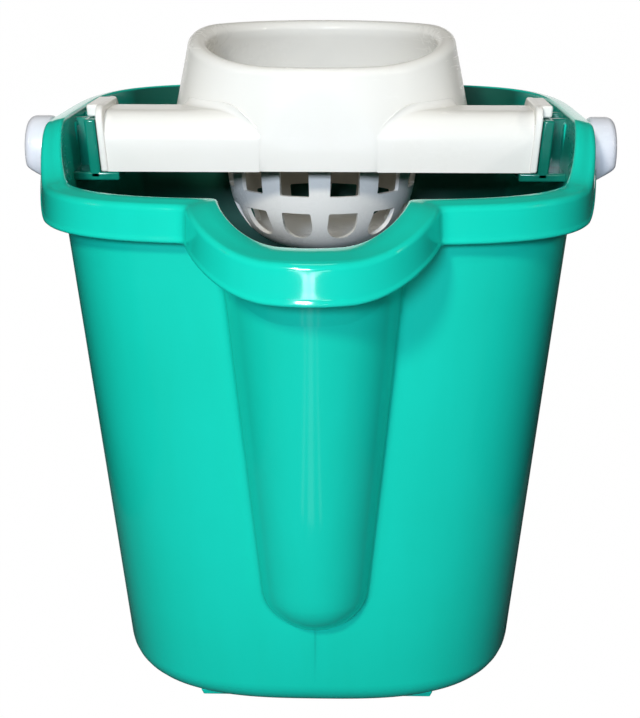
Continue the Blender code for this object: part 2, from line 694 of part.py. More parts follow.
def build_basket():
    top = DECK_Z - SEAT_GAP
    low = top - CUP_FLANGE
    bend = between(CUP_LOW_Z, CUP_BOTTOM_Z, 0.7)
    profile = [(CUP_FLANGE_R, top), (CUP_FLANGE_R, low), (CUP_R, low), (CUP_R, CUP_STRAIGHT_Z)]
    profile += [(CUP_TAPER_R, CUP_TAPER_Z), (CUP_LOW_R, CUP_LOW_Z), (0.74 * CUP_LOW_R, bend)]
    profile += [(0.36 * CUP_LOW_R, CUP_BOTTOM_Z), (DRAIN_R, CUP_BOTTOM_Z)]
    profile += [(DRAIN_R, CUP_BOTTOM_Z + CUP_WALL), (0.36 * CUP_LOW_R, CUP_BOTTOM_Z + CUP_WALL)]
    profile += [(0.74 * CUP_LOW_R - 0.5 * CUP_WALL, bend + CUP_WALL)]
    profile += [(CUP_LOW_R - CUP_WALL, CUP_LOW_Z + 0.5 * CUP_WALL), (CUP_TAPER_R - CUP_WALL, CUP_TAPER_Z)]
    profile += [(CUP_R - CUP_WALL, CUP_STRAIGHT_Z), (CUP_R - CUP_WALL, top)]
    basket = add_mesh("wringer_basket", PARTS, *turned(list(reversed(profile)), 60, COLLAR_Y), CUP_WHITE)
    combine(basket, add_helper("slots_upper", *slot_prisms(*UPPER_SLOT_Z, False)), "DIFFERENCE")
    combine(basket, add_helper("slots_lower", *slot_prisms(*LOWER_SLOT_Z, True)), "DIFFERENCE")


def rest_angle():
    """How far below level the bail hangs when its cross bar lies against the back wall."""
    low, high = 0.0, math.radians(60.0)
    for _ in range(40):
        angle = 0.5 * (low + high)
        nearest = 1.0
        for step in range(36):
            around = 2.0 * math.pi * step / 36
            out = BAIL_REACH + BAIL_THICK * math.cos(around)
            up = BAIL_WIDE * math.sin(around)
            y = PIVOT_Y + out * math.cos(angle) + up * math.sin(angle)
            level = Level(PIVOT_Z - out * math.sin(angle) + up * math.cos(angle))
            nearest = min(nearest, y - level.centre_y - level.half_y)
        low, high = (angle, high) if nearest > BAIL_REST_GAP else (low, angle)
    return low


def bail_path():
    """Middle line of the bail in its own plane, from one hub to the other."""
    found = []
    for i in range(BAIL_STEPS + 1):
        turn = math.pi * i / BAIL_STEPS
        x = math.copysign(abs(math.cos(turn)) ** (2.0 / BAIL_SQUARENESS), math.cos(turn))
        y = abs(math.sin(turn)) ** (2.0 / BAIL_SQUARENESS)
        found.append((BAIL_HALF_X * x, BAIL_REACH * y))
    return found


def curve_of(name, points, closed):
    curve = bpy.data.curves.new(name, "CURVE")
    curve.dimensions = "3D"
    spline = curve.splines.new("POLY")
    spline.points.add(len(points) - 1)
    for place, point in zip(spline.points, points):
        place.co = (*point, 1.0)
    spline.use_cyclic_u = closed
    obj = bpy.data.objects.new(name, curve)
    CUTTERS.objects.link(obj)
    return obj


def swept_bail():
    """The bail's bar as a mesh: an oval section carried along the middle line."""
    section = []
    for i in range(12):
        angle = 2.0 * math.pi * i / 12
        section.append((BAIL_THICK * math.cos(angle), BAIL_WIDE * math.sin(angle), 0.0))
    oval = curve_of("bail_section", section, True)
    path = curve_of("bail_line", [(x, y, 0.0) for x, y in bail_path()], False)
    path.data.twist_mode = "Z_UP"
    path.data.bevel_mode = "OBJECT"
    path.data.bevel_object = oval
    path.data.use_fill_caps = True
    bpy.context.view_layer.update()
    graph = bpy.context.evaluated_depsgraph_get()
    mesh = bpy.data.meshes.new_from_object(path.evaluated_get(graph))
    for helper in (path, oval):
        bpy.data.objects.remove(helper, do_unlink=True)
    shape = bmesh.new()
    shape.from_mesh(mesh)
    bmesh.ops.remove_doubles(shape, verts=shape.verts, dist=0.00001)
    bmesh.ops.recalc_face_normals(shape, faces=shape.faces)
    shape.to_mesh(mesh)
    shape.free()
    return mesh


def turned_x(stations, steps=28):
    """A solid turned about the X axis, given as pairs of X and radius."""
    rows = []
    for x, r in stations:
        row = []
        for step in range(steps):
            angle = 2.0 * math.pi * step / steps
            row.append((x, r * math.cos(angle), r * math.sin(angle)))
        rows.append(row)
    return loft(rows, (stations[0][0], 0.0, 0.0), (stations[-1][0], 0.0, 0.0))


def build_bail():
    bail = bpy.data.objects.new("bail", swept_bail())
    PARTS.objects.link(bail)
    bail.data.materials.clear()
    bail.data.materials.append(BAIL_WHITE)
    helpers = []
    for side, name in ((-1, "left"), (1, "right")):
        near = BOSS_END_X + HUB_GAP
        far = near + HUB_WIDE
        stations = [(near, HUB_R - HUB_ROUND), (near + 0.3 * HUB_ROUND, HUB_R - 0.3 * HUB_ROUND)]
        stations += [(near + HUB_ROUND, HUB_R), (far - 2.0 * HUB_ROUND, HUB_R)]
        stations += [(far - 0.6 * HUB_ROUND, HUB_R - 0.6 * HUB_ROUND), (far, HUB_R - 2.0 * HUB_ROUND)]
        bore = [(near - 2.0 * MM, PEG_R + PEG_CLEAR), (PEG_END_X + PEG_END_CLEAR, PEG_R + PEG_CLEAR)]
        if side < 0:
            stations = [(-x, r) for x, r in reversed(stations)]
            bore = [(-x, r) for x, r in reversed(bore)]
        hub = add_helper("hub_" + name, *turned_x(stations))
        combine(bail, hub, "UNION")
        helpers.append(hub)
        hole = add_helper("hub_bore_" + name, *turned_x(bore))
        combine(bail, hole, "DIFFERENCE")
        helpers.append(hole)
    for obj in [bail] + helpers:
        obj.location = (0.0, PIVOT_Y + SHIFT_Y, PIVOT_Z)
        obj.rotation_euler.x = -rest_angle()


def rim_back():
    level = Level(RIM_Z)
    return level.centre_y + level.half_y + BAND


def middle_shift():
    """Moves the object so that its box is centred on the origin from front to back."""
    reach = [y for row in tub_rows() for _, y, _ in row]
    return -0.5 * (min(reach) + max(reach))


clear_scene()
SHIFT_Y = middle_shift()
PARTS = new_collection("mop_bucket")
CUTTERS = new_collection("cutters", hidden=True)
GREEN = material("tub_green", (0.02, 0.42, 0.30), 0.25)
HEAD_WHITE = material("head_white", (0.86, 0.86, 0.84), 0.3)
CUP_WHITE = material("basket_white", (0.80, 0.80, 0.79), 0.35)
BAIL_WHITE = material("bail_white", (0.84, 0.84, 0.86), 0.3)
build_bucket()
build_head()
build_basket()
build_bail()
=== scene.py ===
"""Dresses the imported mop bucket: smooth mouldings, plastic finishes, a pale studio and a matching camera."""

import json
import math
from types import SimpleNamespace

import bmesh
import bpy
from mathutils import Matrix, Vector


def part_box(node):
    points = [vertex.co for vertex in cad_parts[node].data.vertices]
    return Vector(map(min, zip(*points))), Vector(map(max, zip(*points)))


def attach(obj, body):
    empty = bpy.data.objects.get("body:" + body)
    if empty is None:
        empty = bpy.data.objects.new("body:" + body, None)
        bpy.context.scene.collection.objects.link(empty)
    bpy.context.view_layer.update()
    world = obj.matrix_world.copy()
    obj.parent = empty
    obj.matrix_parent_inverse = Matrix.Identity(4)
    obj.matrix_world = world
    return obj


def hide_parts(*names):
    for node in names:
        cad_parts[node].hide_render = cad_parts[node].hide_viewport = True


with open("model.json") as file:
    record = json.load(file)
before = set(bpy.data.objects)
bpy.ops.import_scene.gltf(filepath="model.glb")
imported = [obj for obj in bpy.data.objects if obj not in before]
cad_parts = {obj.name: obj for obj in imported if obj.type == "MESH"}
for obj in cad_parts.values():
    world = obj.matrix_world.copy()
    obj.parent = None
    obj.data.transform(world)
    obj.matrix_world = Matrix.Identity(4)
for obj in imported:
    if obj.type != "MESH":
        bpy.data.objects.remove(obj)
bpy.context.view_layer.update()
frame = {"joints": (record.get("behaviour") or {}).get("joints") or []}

bl_info = {
    "name": "Mop Bucket Dresser",
    "version": (1, 0, 0),
    "blender": (4, 5, 0),
    "location": "View3D > Sidebar > Mop Bucket",
    "description": "Builds the smooth mouldings, finishes and studio of a mop bucket with wringer",
    "category": "Object",
}

SWING = next(joint for joint in frame["joints"] if joint["type"] == "hinge")
PIVOT = Vector(SWING["pos_m"])
PIVOT_FROM_MIDDLE = -0.010
SHIFT = Vector((0.0, PIVOT.y - PIVOT_FROM_MIDDLE, 0.0))

MM = 0.001
SIDES = ((-1, "left"), (1, "right"))

# The picture that the camera has to match, its focal length in pixels of the longer side
FOCAL_PIXELS = 1400.0
IMAGE_PIXELS = 718.0
SENSOR_MM = 36.0


def length(name, description, default):
    return bpy.props.FloatProperty(
        name=name, description=description, default=default, precision=5, subtype="DISTANCE", unit="LENGTH"
    )


def share_of(name, description, default):
    return bpy.props.FloatProperty(name=name, description=description, default=default, precision=4)


def count(name, description, default):
    return bpy.props.IntProperty(name=name, description=description, default=default, min=1)


def tilt(name, description, degrees):
    return bpy.props.FloatProperty(
        name=name, description=description, default=math.radians(degrees), subtype="ANGLE"
    )


def colour(name, description, default):
    return bpy.props.FloatVectorProperty(
        name=name, description=description, default=default, size=3, min=0.0, max=1.0, subtype="COLOR"
    )


class TubSizes(bpy.types.PropertyGroup):
    """Sizes of the tub"""

    rim_z: length("Rim height", "Top of the rim at the sides and the back", 0.322)
    front_rim_z: length("Front rim height", "Top of the rim along the front", 0.297)
    spout_dip: length("Spout dip", "How far the rim dips at the spout", 0.014)
    top_half_x: length("Top half width", "Half the tub's width at the rim", 0.138)
    top_half_y: length("Top half depth", "Half the tub's depth at the rim", 0.142)
    top_centre_y: length("Top middle", "Where the plan's middle lies at the rim", -0.010)
    top_squareness: share_of("Top squareness", "How square the plan is at the rim", 3.9)
    base_z: length("Base height", "Underside of the floor above the ground", 0.0025)
    base_half_x: length("Base half width", "Half the tub's width at the ground", 0.113)
    base_half_y: length("Base half depth", "Half the tub's depth at the ground", 0.110)
    base_centre_y: length("Base middle", "Where the plan's middle lies at the ground", 0.001)
    base_squareness: share_of("Base squareness", "How square the plan is at the ground", 2.9)
    base_fillet: length("Base fillet", "Rounding between wall and floor", 0.016)
    wall: length("Wall", "Thickness of the wall", 0.0026)
    floor: length("Floor", "Thickness of the floor", 0.0032)
    ramp_from_y: length("Ramp start", "Where the rim starts to rise", -0.108)
    ramp_to_y: length("Ramp end", "Where the rim has risen", -0.050)
    channel_low_z: length("Channel end", "Height at which the channel's round end begins", 0.085)
    channel_low_r: length("Channel radius", "Radius of the channel at its lower end", 0.0301)
    channel_flare: share_of("Channel flare", "Growth of the channel's radius with height", 0.0845)
    channel_set_in: length("Channel set in", "How far the channel's axis lies inside the wall", 0.008)
    channel_least_r: length("Channel least radius", "Radius below which the columns stop closing in", 0.008)
    band: length("Rim band", "Width of the rim beyond the wall", 0.0092)
    spout_reach: length("Spout reach", "Extra reach of the lip at the spout", 0.0034)
    spout_lean: length("Spout lean", "Forward lean of the wall at the spout", 0.0065)
    spout_flare: length("Spout flare", "Extra radius of the lip at the spout", 0.0056)
    skirt: length("Skirt", "Depth of the rim's skirt", 0.020)
    spout_skirt: length("Spout skirt", "Extra depth of the skirt at the spout", 0.0025)
    rim_sheet: length("Rim sheet", "Thickness of the rim's band and skirt", 0.0026)
    rim_round: length("Rim round", "Rounding of the rim's outer edge", 0.0035)
    rim_crown: length("Rim crown", "Fall of the rim's top from its inner edge to its outer edge", 0.0014)
    hem_bead: length("Hem bead", "How far the bead along the hem stands out", 0.0006)
    inner_round: length("Inner round", "Rounding of the rim's inner edge", 0.0016)
    front_columns: count("Front columns", "Columns of the mesh across the channel", 64)
    side_columns: count("Side columns", "Columns of the mesh along each side", 84)


class WringerSizes(bpy.types.PropertyGroup):
    """Sizes of the wringer head"""

    collar_y: length("Collar middle", "Where the collar's axis lies", 0.034)
    collar_r: length("Collar radius", "Radius of the collar below its bend", 0.0875)
    bend_z: length("Bend height", "Height above which the collar tapers", 0.3095)
    taper: share_of("Taper", "Loss of radius with height above the bend", 0.213)
    low_z: length("Lower edge", "Lower edge of the wringer head", 0.293)
    mouth_front_z: length("Mouth front", "Crest of the lip at the front", 0.348)
    mouth_back_z: length("Mouth back", "Crest of the lip at the sides and the back", 0.364)
    wall: length("Wall", "Thickness of the head's wall", 0.0026)
    lip_roll: length("Lip roll", "Radius of the rolled lip", 0.0055)
    bar_front_y: length("Bar front", "Front face of the bridge bar", -0.047)
    bar_back_y: length("Bar back", "Back face of the bridge bar", 0.002)
    bar_top_z: length("Bar top", "Top of the bridge bar", 0.3245)
    bar_front_round: length("Bar front round", "Rounding of the bar's front upper edge", 0.016)
    bar_back_round: length("Bar back round", "Rounding of the bar's back upper edge", 0.010)
    bar_fillet: length("Bar fillet", "Fillet where the bar meets the collar", 0.004)
    plate_x: length("Plate place", "Inner face of the end plates", 0.1136)
    plate: length("Plate", "Thickness of the end plates", 0.0038)
    plate_front_y: length("Plate front", "Front edge of the end plates", -0.048)
    plate_back_y: length("Plate back", "Back edge of the end plates", 0.010)
    plate_top_z: length("Plate top", "Top of the end plates", 0.328)
    plate_round: length("Plate round", "Rounding of the plates' upper corners", 0.009)
    lean: share_of("Plate lean", "Outward slope of the end plates", 0.025 / 0.322)
    hook_reach: length("Hook reach", "How far the hooks stand out from the plates", 0.006)
    hook_low_z: length("Hook underside", "Underside of the hooks", 0.32125)
    deck_z: length("Deck", "Underside of the deck", 0.2985)
    deck: length("Deck thickness", "Thickness of the deck", 0.003)
    hole_r: length("Deck hole", "Radius of the hole in the deck", 0.0578)
    nest_r: length("Nest", "Inner radius of the ring round the basket's flange", 0.0684)
    nest_low_z: length("Nest edge", "Lower edge of the ring round the flange", 0.294)
    tab_half: length("Tab half width", "Half the width of the back tab", 0.019)
    tab: length("Tab thickness", "Thickness of the back tab", 0.0034)
    steps: count("Steps", "Steps of the mesh round the collar", 180)


class BasketSizes(bpy.types.PropertyGroup):
    """Sizes of the slotted basket"""

    top_z: length("Top", "Upper face of the flange", 0.2982)
    flange: length("Flange", "Thickness of the flange", 0.0028)
    flange_r: length("Flange radius", "Radius of the flange", 0.068)
    cup_r: length("Cup radius", "Radius of the straight part", 0.0563)
    taper_r: length("Taper radius", "Radius where the cup draws in", 0.053)
    low_r: length("Low radius", "Radius near the bottom", 0.0455)
    wall: length("Wall", "Thickness of the cup", 0.0026)
    straight_z: length("Straight end", "Lower end of the straight part", 0.280)
    taper_z: length("Taper end", "Lower end of the taper", 0.263)
    low_z: length("Low bend", "Where the bottom begins to turn in", 0.250)
    bottom_z: length("Bottom", "Underside of the cup", 0.236)
    drain_r: length("Drain", "Radius of the drain hole", 0.004)
    slots: count("Slots", "Slots in each row", 12)
    slot_angle: tilt("Slot angle", "Angle that a slot takes up round the cup", 17.5)
    upper_low_z: length("Upper slots low", "Lower edge of the upper slots", 0.2745)
    upper_high_z: length("Upper slots high", "Upper edge of the upper slots", 0.290)
    lower_low_z: length("Lower slots low", "Lower edge of the lower slots", 0.2485)
    lower_high_z: length("Lower slots high", "Upper edge of the lower slots", 0.2645)
    steps: count("Steps", "Steps of the mesh round the cup", 144)


class FittingSizes(bpy.types.PropertyGroup):
    """Sizes of the tub's feet, guides and pivots"""

    foot_x: length("Foot place", "Middle of each foot from the middle", 0.056)
    foot_y: length("Foot depth place", "Middle of each foot along the depth", 0.081)
    foot_wide: length("Foot width", "Width of a foot", 0.020)
    foot_deep: length("Foot depth", "Depth of a foot", 0.022)
    guide_front_y: length("Front guide", "Front face of the front web", -0.022)
    guide_back_y: length("Back guide", "Front face of the back guide", 0.005)
    guide: length("Guide", "Thickness of a guide", 0.004)
    rail: length("Rail", "Thickness of the rail beside an end plate", 0.0059)
    rail_front_y: length("Rail front", "Front edge of the rails", -0.047)
    rail_back_y: length("Rail back", "Back edge of the rails", 0.010)
    guide_clear: length("Guide clearance", "Room between guide and end plate", 0.0006)
    guide_top_z: length("Guide top", "Top of the guides", 0.32095)
    ledge: length("Ledge", "Thickness of the ledge", 0.0045)
    ledge_x: length("Ledge edge", "Inner edge of the ledge", 0.108)
    ledge_top_z: length("Ledge top", "Top of the ledge", 0.2927)
    boss_end_x: length("Boss end", "Outer face of the pivot boss", 0.148)
    boss_half_y: length("Boss half depth", "Half the depth of the boss", 0.017)
    boss_low_z: length("Boss low", "Lower face of the boss", 0.283)
    boss_high_z: length("Boss high", "Upper face of the boss", 0.317)
    peg_r: length("Peg radius", "Radius of the pivot peg", 0.006)
    peg_end_x: length("Peg end", "Outer end of the pivot peg", 0.159)


class BailSizes(bpy.types.PropertyGroup):
    """Sizes of the bail"""

    half_x: length("Half width", "Half the width of the bail's middle line", 0.1565)
    reach: length("Reach", "Reach of the bail from its pivot", 0.163)
    squareness: share_of("Squareness", "How square the bail's bow is", 4.2)
    thick: length("Half thickness", "Half the bar's thickness in the bow's plane", 0.005)
    wide: length("Half width of bar", "Half the bar's width across the bow's plane", 0.008)
    hub_r: length("Hub radius", "Radius of the hubs", 0.0185)
    hub_gap: length("Hub gap", "Room between boss and hub", 0.001)
    hub_wide: length("Hub width", "Width of a hub along its axis", 0.015)
    hub_round: length("Hub round", "Rounding of the hub's edges", 0.0025)
    hub_taper: share_of("Hub taper", "How far the hub's lower edge is drawn in", 0.7)
    bore_r: length("Bore", "Radius of the blind bore", 0.00635)
    bore_end_x: length("Bore end", "Closed end of the bore", 0.160)
    steps: count("Steps", "Steps of the mesh along the bow", 120)


class FinishColours(bpy.types.PropertyGroup):
    """Colours of the plastics"""

    tub: colour("Tub", "Main green of the tub", (0.007, 0.600, 0.450))
    tub_deep: colour("Tub deep", "Deeper green in the tub's mottling", (0.006, 0.550, 0.395))
    # Painted shade: a much darker green that the tub's material blends in on faces inside the tub, standing in
    # for the shade that falls there
    tub_inside_shade: colour("Tub inside", "Deeper green inside the tub", (0.003, 0.085, 0.058))
    # Painted shade: the guides get a green much darker than the tub's, standing in for the shade inside the
    # tub
    guide: colour("Guides", "Green of the guides inside the tub", (0.004, 0.260, 0.185))
    head: colour("Head", "White of the wringer head", (0.785, 0.77, 0.73))
    head_deep: colour("Head deep", "Creamier white in the head's mottling", (0.765, 0.745, 0.695))
    basket: colour("Basket", "White of the basket", (0.87, 0.85, 0.82))
    basket_deep: colour("Basket deep", "Greyer white in the basket's mottling", (0.83, 0.81, 0.77))
    # Painted shade: a dull dark tone blended in on faces inside the basket, standing in for the shade inside
    # it
    basket_inside_shade: colour("Basket inside", "Duller tone inside the basket", (0.30, 0.285, 0.245))
    bail: colour("Bail", "White of the bail", (0.78, 0.78, 0.82))
    bail_deep: colour("Bail deep", "Cooler white in the bail's mottling", (0.72, 0.73, 0.79))


class StudioSettings(bpy.types.PropertyGroup):
    """Camera and floor of the studio"""

    lens: bpy.props.FloatProperty(
        name="Lens",
        description="Focal length of the camera",
        default=FOCAL_PIXELS / IMAGE_PIXELS * SENSOR_MM,
        unit="CAMERA",
    )
    pitch: tilt("Pitch", "How far the camera looks down", 17.0)
    distance: length("Distance", "How far the camera stands in front of the plan's middle", 0.799)
    height: length("Height", "Height of the camera above the ground", 0.4176)
    shift_x: share_of("Shift", "Sideways shift of the lens", -0.5 / IMAGE_PIXELS)
    yaw: tilt("Yaw", "How far round to the right the camera stands", 1.4)
    paper_from_y: length("Paper", "Where behind the object reflections begin to show white paper", 1.2)
    backdrop: length("Backdrop", "Height of the backdrop round the floor", 2.7)
    floor_half: length("Floor half size", "Half the size of the floor", 10.0)


def plain(group):
    """A quick copy of a group of settings."""
    return SimpleNamespace(**{key: getattr(group, key) for key in type(group).__annotations__})


def between(low, high, share):
    """The value at a share of the way from low to high."""
    return low + (high - low) * share


def ease(share):
    """A share that leaves 0 and reaches 1 without a jerk."""
    share = min(1.0, max(0.0, share))
    return share * share * (3.0 - 2.0 * share)


def halved(low, high, rounds, short):
    """Closes in on the place between low and high up to which short holds."""
    for _ in range(rounds):
        middle = 0.5 * (low + high)
        low, high = (middle, high) if short(middle) else (low, middle)
    return low, high


# Where a material gets painted shade inside a hollow, by the turn of its faces and by height
INSIDE_TURN = (0.55, 0.85)
FAR_WALL_TURN = (0.02, 0.30)
FLOOR_LEAST_UP = 0.5
FLOOR_BELOW_Z = 0.2
SHADE_FROM_Z = 0.295
SHADE_TO_Z = 0.250


class Wire:
    """A shader socket that can stand in a Python expression."""

    def __init__(self, look, socket):
        self.look = look
        self.socket = socket

    def __add__(self, other):
        return self.look.maths("ADD", self, other)

    def __radd__(self, other):
        return self.look.maths("ADD", other, self)

    def __sub__(self, other):
        return self.look.maths("SUBTRACT", self, other)

    def __rsub__(self, other):
        return self.look.maths("SUBTRACT", other, self)

    def __mul__(self, other):
        return self.look.maths("MULTIPLY", self, other)

    def __rmul__(self, other):
        return self.look.maths("MULTIPLY", other, self)

    def __gt__(self, other):
        return self.look.maths("GREATER_THAN", self, other)


class Look:
    """One procedural material, with its nodes made from expressions."""

    def __init__(self, name):
        self.material = bpy.data.materials.new(name)
        self.material.use_nodes = True
        self.tree = self.material.node_tree
        self.shader = self.tree.nodes["Principled BSDF"]
        self.ending = self.tree.nodes["Material Output"]

    def node(self, kind, settings, sockets):
        """A node of a type, with its settings and then the values or links of its sockets."""
        made = self.tree.nodes.new(kind)
        for key, value in settings.items():
            setattr(made, key, value)
        for key, value in sockets.items():
            self.feed(made.inputs[key], value)
        return made

    def feed(self, socket, value):
        if isinstance(value, Wire):
            self.tree.links.new(value.socket, socket)
        else:
            socket.default_value = value

    def wire(self, kind, settings, sockets, output=0):
        return Wire(self, self.node(kind, settings, sockets).outputs[output])

    def maths(self, operation, first, second):
        return self.wire("ShaderNodeMath", {"operation": operation}, {0: first, 1: second})

    def place(self):
        return self.wire("ShaderNodeTexCoord", {}, {}, "Object")

    def vector_maths(self, operation, first, second=(0.0, 0.0, 0.0), output=0):
        return self.wire("ShaderNodeVectorMath", {"operation": operation}, {0: first, 1: second}, output)

    def part(self, vector, axis):
        return self.wire("ShaderNodeSeparateXYZ", {}, {"Vector": vector}, axis)

    def inside_shade_share(self, place, middle_y):
        """Share of painted shade on a face inside a hollow: 0 outside, half on its sides near the rim, 1 on
        walls facing along the depth and deeper down.
        """
        normal = self.wire("ShaderNodeNewGeometry", {}, {}, "Normal")
        from_middle = self.vector_maths("SUBTRACT", place, (0.0, middle_y + SHIFT.y, 0.0))
        out = self.vector_maths("NORMALIZE", self.stretched(from_middle, (1.0, 1.0, 0.0)))
        turned_out = self.vector_maths("DOT_PRODUCT", normal, out, "Value")
        up, along, height = self.part(normal, "Z"), self.part(normal, "Y"), self.part(place, "Z")
        floor = (up > FLOOR_LEAST_UP) * (FLOOR_BELOW_Z - height > 0.0)
        far_wall = self.spread(along * along, *FAR_WALL_TURN)
        low = self.spread(0.0 - height, -SHADE_FROM_Z, -SHADE_TO_Z)
        deep = self.maths("MAXIMUM", far_wall, low)
        return self.spread(floor - turned_out, *INSIDE_TURN) * (0.5 + 0.5 * deep)

    def stretched(self, place, scale):
        return self.vector_maths("MULTIPLY", place, scale)

    def noise(self, place, scale, detail, roughness=0.5):
        sockets = {"Vector": place, "Scale": scale, "Detail": detail, "Roughness": roughness}
        return self.wire("ShaderNodeTexNoise", {}, sockets)

    def spread(self, value, low, high):
        sockets = {"Value": value, "From Min": low, "From Max": high}
        return self.wire("ShaderNodeMapRange", {"clamp": True}, sockets)

    def mixed(self, share, first, second):
        """A mix of two colours. The numbers are the Mix node's sockets for colours."""
        sockets = {0: share}
        for socket, tone in ((6, first), (7, second)):
            sockets[socket] = tone if isinstance(tone, Wire) else (*tone, 1.0)
        return self.wire("ShaderNodeMix", {"data_type": "RGBA"}, sockets, 2)

    def bump(self, height, strength, distance):
        sockets = {"Height": height, "Strength": strength, "Distance": distance}
        return self.wire("ShaderNodeBump", {}, sockets)

    def principled(self, sockets):
        for key, value in sockets.items():
            self.feed(self.shader.inputs[key], value)


# Grain of the plastic, as noise scales per metre, the stretched ones along X, Y and Z
CLOUD_SCALE = 9.0
FLOW_SCALE = (90.0, 90.0, 4.0)
SPECK_SCALE = 700.0
SCUFF_SCALE = (35.0, 35.0, 420.0)
PEEL_SCALE = 260.0
WAVE_SCALE = 22.0

# Gloss of the plastic
SPECULAR = 0.4
COAT = 0.3
COAT_ROUGHNESS = 0.08
DULLER_INSIDE = 0.25
BUMP_STRENGTH = 0.10
BUMP_HEIGHT = 1.0 * MM
GLOW_RADIUS = 6.0 * MM


def moulded_plastic(name, main, deep, roughness, glow=0.0, inside=None, middle_y=0.0, shine=1.0):
    """Glossy moulded plastic: faint mottling and flow lines in the colour, fine scuffs in the gloss, and
    painted shade on faces inside a hollow where an inside colour is given.
    """
    look = Look(name)
    place = look.place()
    cloud = look.spread(look.noise(place, CLOUD_SCALE, 3.0), 0.3, 0.7)
    flow = look.spread(look.noise(look.stretched(place, FLOW_SCALE), 1.0, 2.0), 0.35, 0.75)
    speck = look.spread(look.noise(place, SPECK_SCALE, 1.0), 0.70, 0.80)
    colour_share = 0.65 * cloud + 0.25 * flow + 0.30 * speck
    scuff_lines = look.noise(look.stretched(place, SCUFF_SCALE), 1.0, 4.0, 0.7)
    scuff = look.spread(scuff_lines, 0.60, 0.78) * cloud
    peel = look.noise(place, PEEL_SCALE, 1.5)
    wave = look.noise(place, WAVE_SCALE, 1.0)
    height = 0.06 * peel + wave + 0.05 * scuff_lines
    body = look.mixed(colour_share, main, deep)
    rough = roughness + 0.05 * cloud + 0.12 * scuff + 0.03 * peel
    coat = COAT * shine
    # Painted shade: faces inside the hollow are blended towards the darker inside colour, and are also made
    # rougher and lose their coat
    if inside:
        within = look.inside_shade_share(place, middle_y)
        body = look.mixed(within, body, inside)
        rough, coat = rough + DULLER_INSIDE * within, coat - coat * within
    look.principled(
        {
            "Base Color": body,
            "Roughness": rough,
            "Normal": look.bump(height, BUMP_STRENGTH, BUMP_HEIGHT),
            "Specular IOR Level": SPECULAR * shine,
            "Coat Weight": coat,
            "Coat Roughness": COAT_ROUGHNESS,
            "Subsurface Weight": glow,
            "Subsurface Radius": (GLOW_RADIUS, GLOW_RADIUS, GLOW_RADIUS),
            "Subsurface Scale": 0.5,
        }
    )
    return look.material


WELD_WITHIN = 0.000002


def add_piece(name, points, faces, material, sharp_angle=35.0):
    """A smooth mesh in the row's frame from points given about the plan's middle."""
    mesh = bpy.data.meshes.new(name)
    mesh.from_pydata([tuple(Vector(p) + SHIFT) for p in points], [], faces)
    mesh.validate()
    piece = bpy.data.objects.new(name, mesh)
    bpy.context.scene.collection.objects.link(piece)
    finish_mesh(piece, material, sharp_angle)
    return piece


def finish_mesh(piece, material, sharp_angle):
    """Welds a piece's mesh, turns its faces outwards and shades it smooth up to an angle."""
    mesh = piece.data
    shape = bmesh.new()
    shape.from_mesh(mesh)
    bmesh.ops.remove_doubles(shape, verts=shape.verts, dist=WELD_WITHIN)
    bmesh.ops.recalc_face_normals(shape, faces=shape.faces)
    shape.to_mesh(mesh)
    shape.free()
    mesh.materials.clear()
    mesh.materials.append(material)
    mesh.polygons.foreach_set("use_smooth", [True] * len(mesh.polygons))
    mesh.set_sharp_from_angle(angle=math.radians(sharp_angle))
    mesh.update()


def rounded(piece, width, segments=3, angle=40.0):
    """Bevels the piece's edges in its mesh."""
    modifier = piece.modifiers.new("Edge round", "BEVEL")
    modifier.width = width
    modifier.segments = segments
    modifier.limit_method = "ANGLE"
    modifier.angle_limit = math.radians(angle)
    modifier.use_clamp_overlap = True
    bake_modifiers(piece)


def bake_modifiers(piece):
    """Puts the piece's modifiers into its mesh."""
    graph = bpy.context.evaluated_depsgraph_get()
    made = bpy.data.meshes.new_from_object(piece.evaluated_get(graph))
    old = piece.data
    piece.modifiers.clear()
    piece.data = made
    bpy.data.meshes.remove(old)


def bands(count_of_rings, size):
    """Faces between rings of points that follow one another."""
    faces = []
    for ring in range(count_of_rings - 1):
        here, there = ring * size, (ring + 1) * size
        for i in range(size):
            j = (i + 1) % size
            faces.append((here + i, here + j, there + j, there + i))
    return faces


def loft(rows, first_pole, last_pole):
    """Points and faces of closed rings joined in order, each end closed to a single point."""
    size = len(rows[0])
    points = [p for row in rows for p in row] + [first_pole, last_pole]
    faces = bands(len(rows), size)
    first, last = len(points) - 2, len(points) - 1
    top = (len(rows) - 1) * size
    for i in range(size):
        j = (i + 1) % size
        faces.append((j, i, first))
        faces.append((top + i, top + j, last))
    return points, faces


def closed_grid(sections):
    """Faces between closed sections that follow one another round a closed path."""
    points = [p for section in sections for p in section]
    size = len(sections[0])
    faces = []
    for step in range(len(sections)):
        here, there = step * size, (step + 1) % len(sections) * size
        for i in range(size):
            j = (i + 1) % size
            faces.append((here + i, there + i, there + j, here + j))
    return points, faces


def open_grid(sections):
    """Faces between closed sections in a row, with a cap on each end."""
    points = [p for section in sections for p in section]
    size = len(sections[0])
    faces = [tuple(reversed(range(size)))] + bands(len(sections), size)
    last = (len(sections) - 1) * size
    faces.append(tuple(last + i for i in range(size)))
    return points, faces


def box_mesh(low, high, low_scale=1.0):
    """A box, its lower face scaled about its own middle."""
    cx, cy = 0.5 * (low[0] + high[0]), 0.5 * (low[1] + high[1])
    points = []
    for z, scale in ((low[2], low_scale), (high[2], 1.0)):
        for x, y in ((low[0], low[1]), (high[0], low[1]), (high[0], high[1]), (low[0], high[1])):
            points.append((cx + (x - cx) * scale, cy + (y - cy) * scale, z))
    faces = [(3, 2, 1, 0), (4, 5, 6, 7), (0, 1, 5, 4), (1, 2, 6, 5), (2, 3, 7, 6), (3, 0, 4, 7)]
    return points, faces


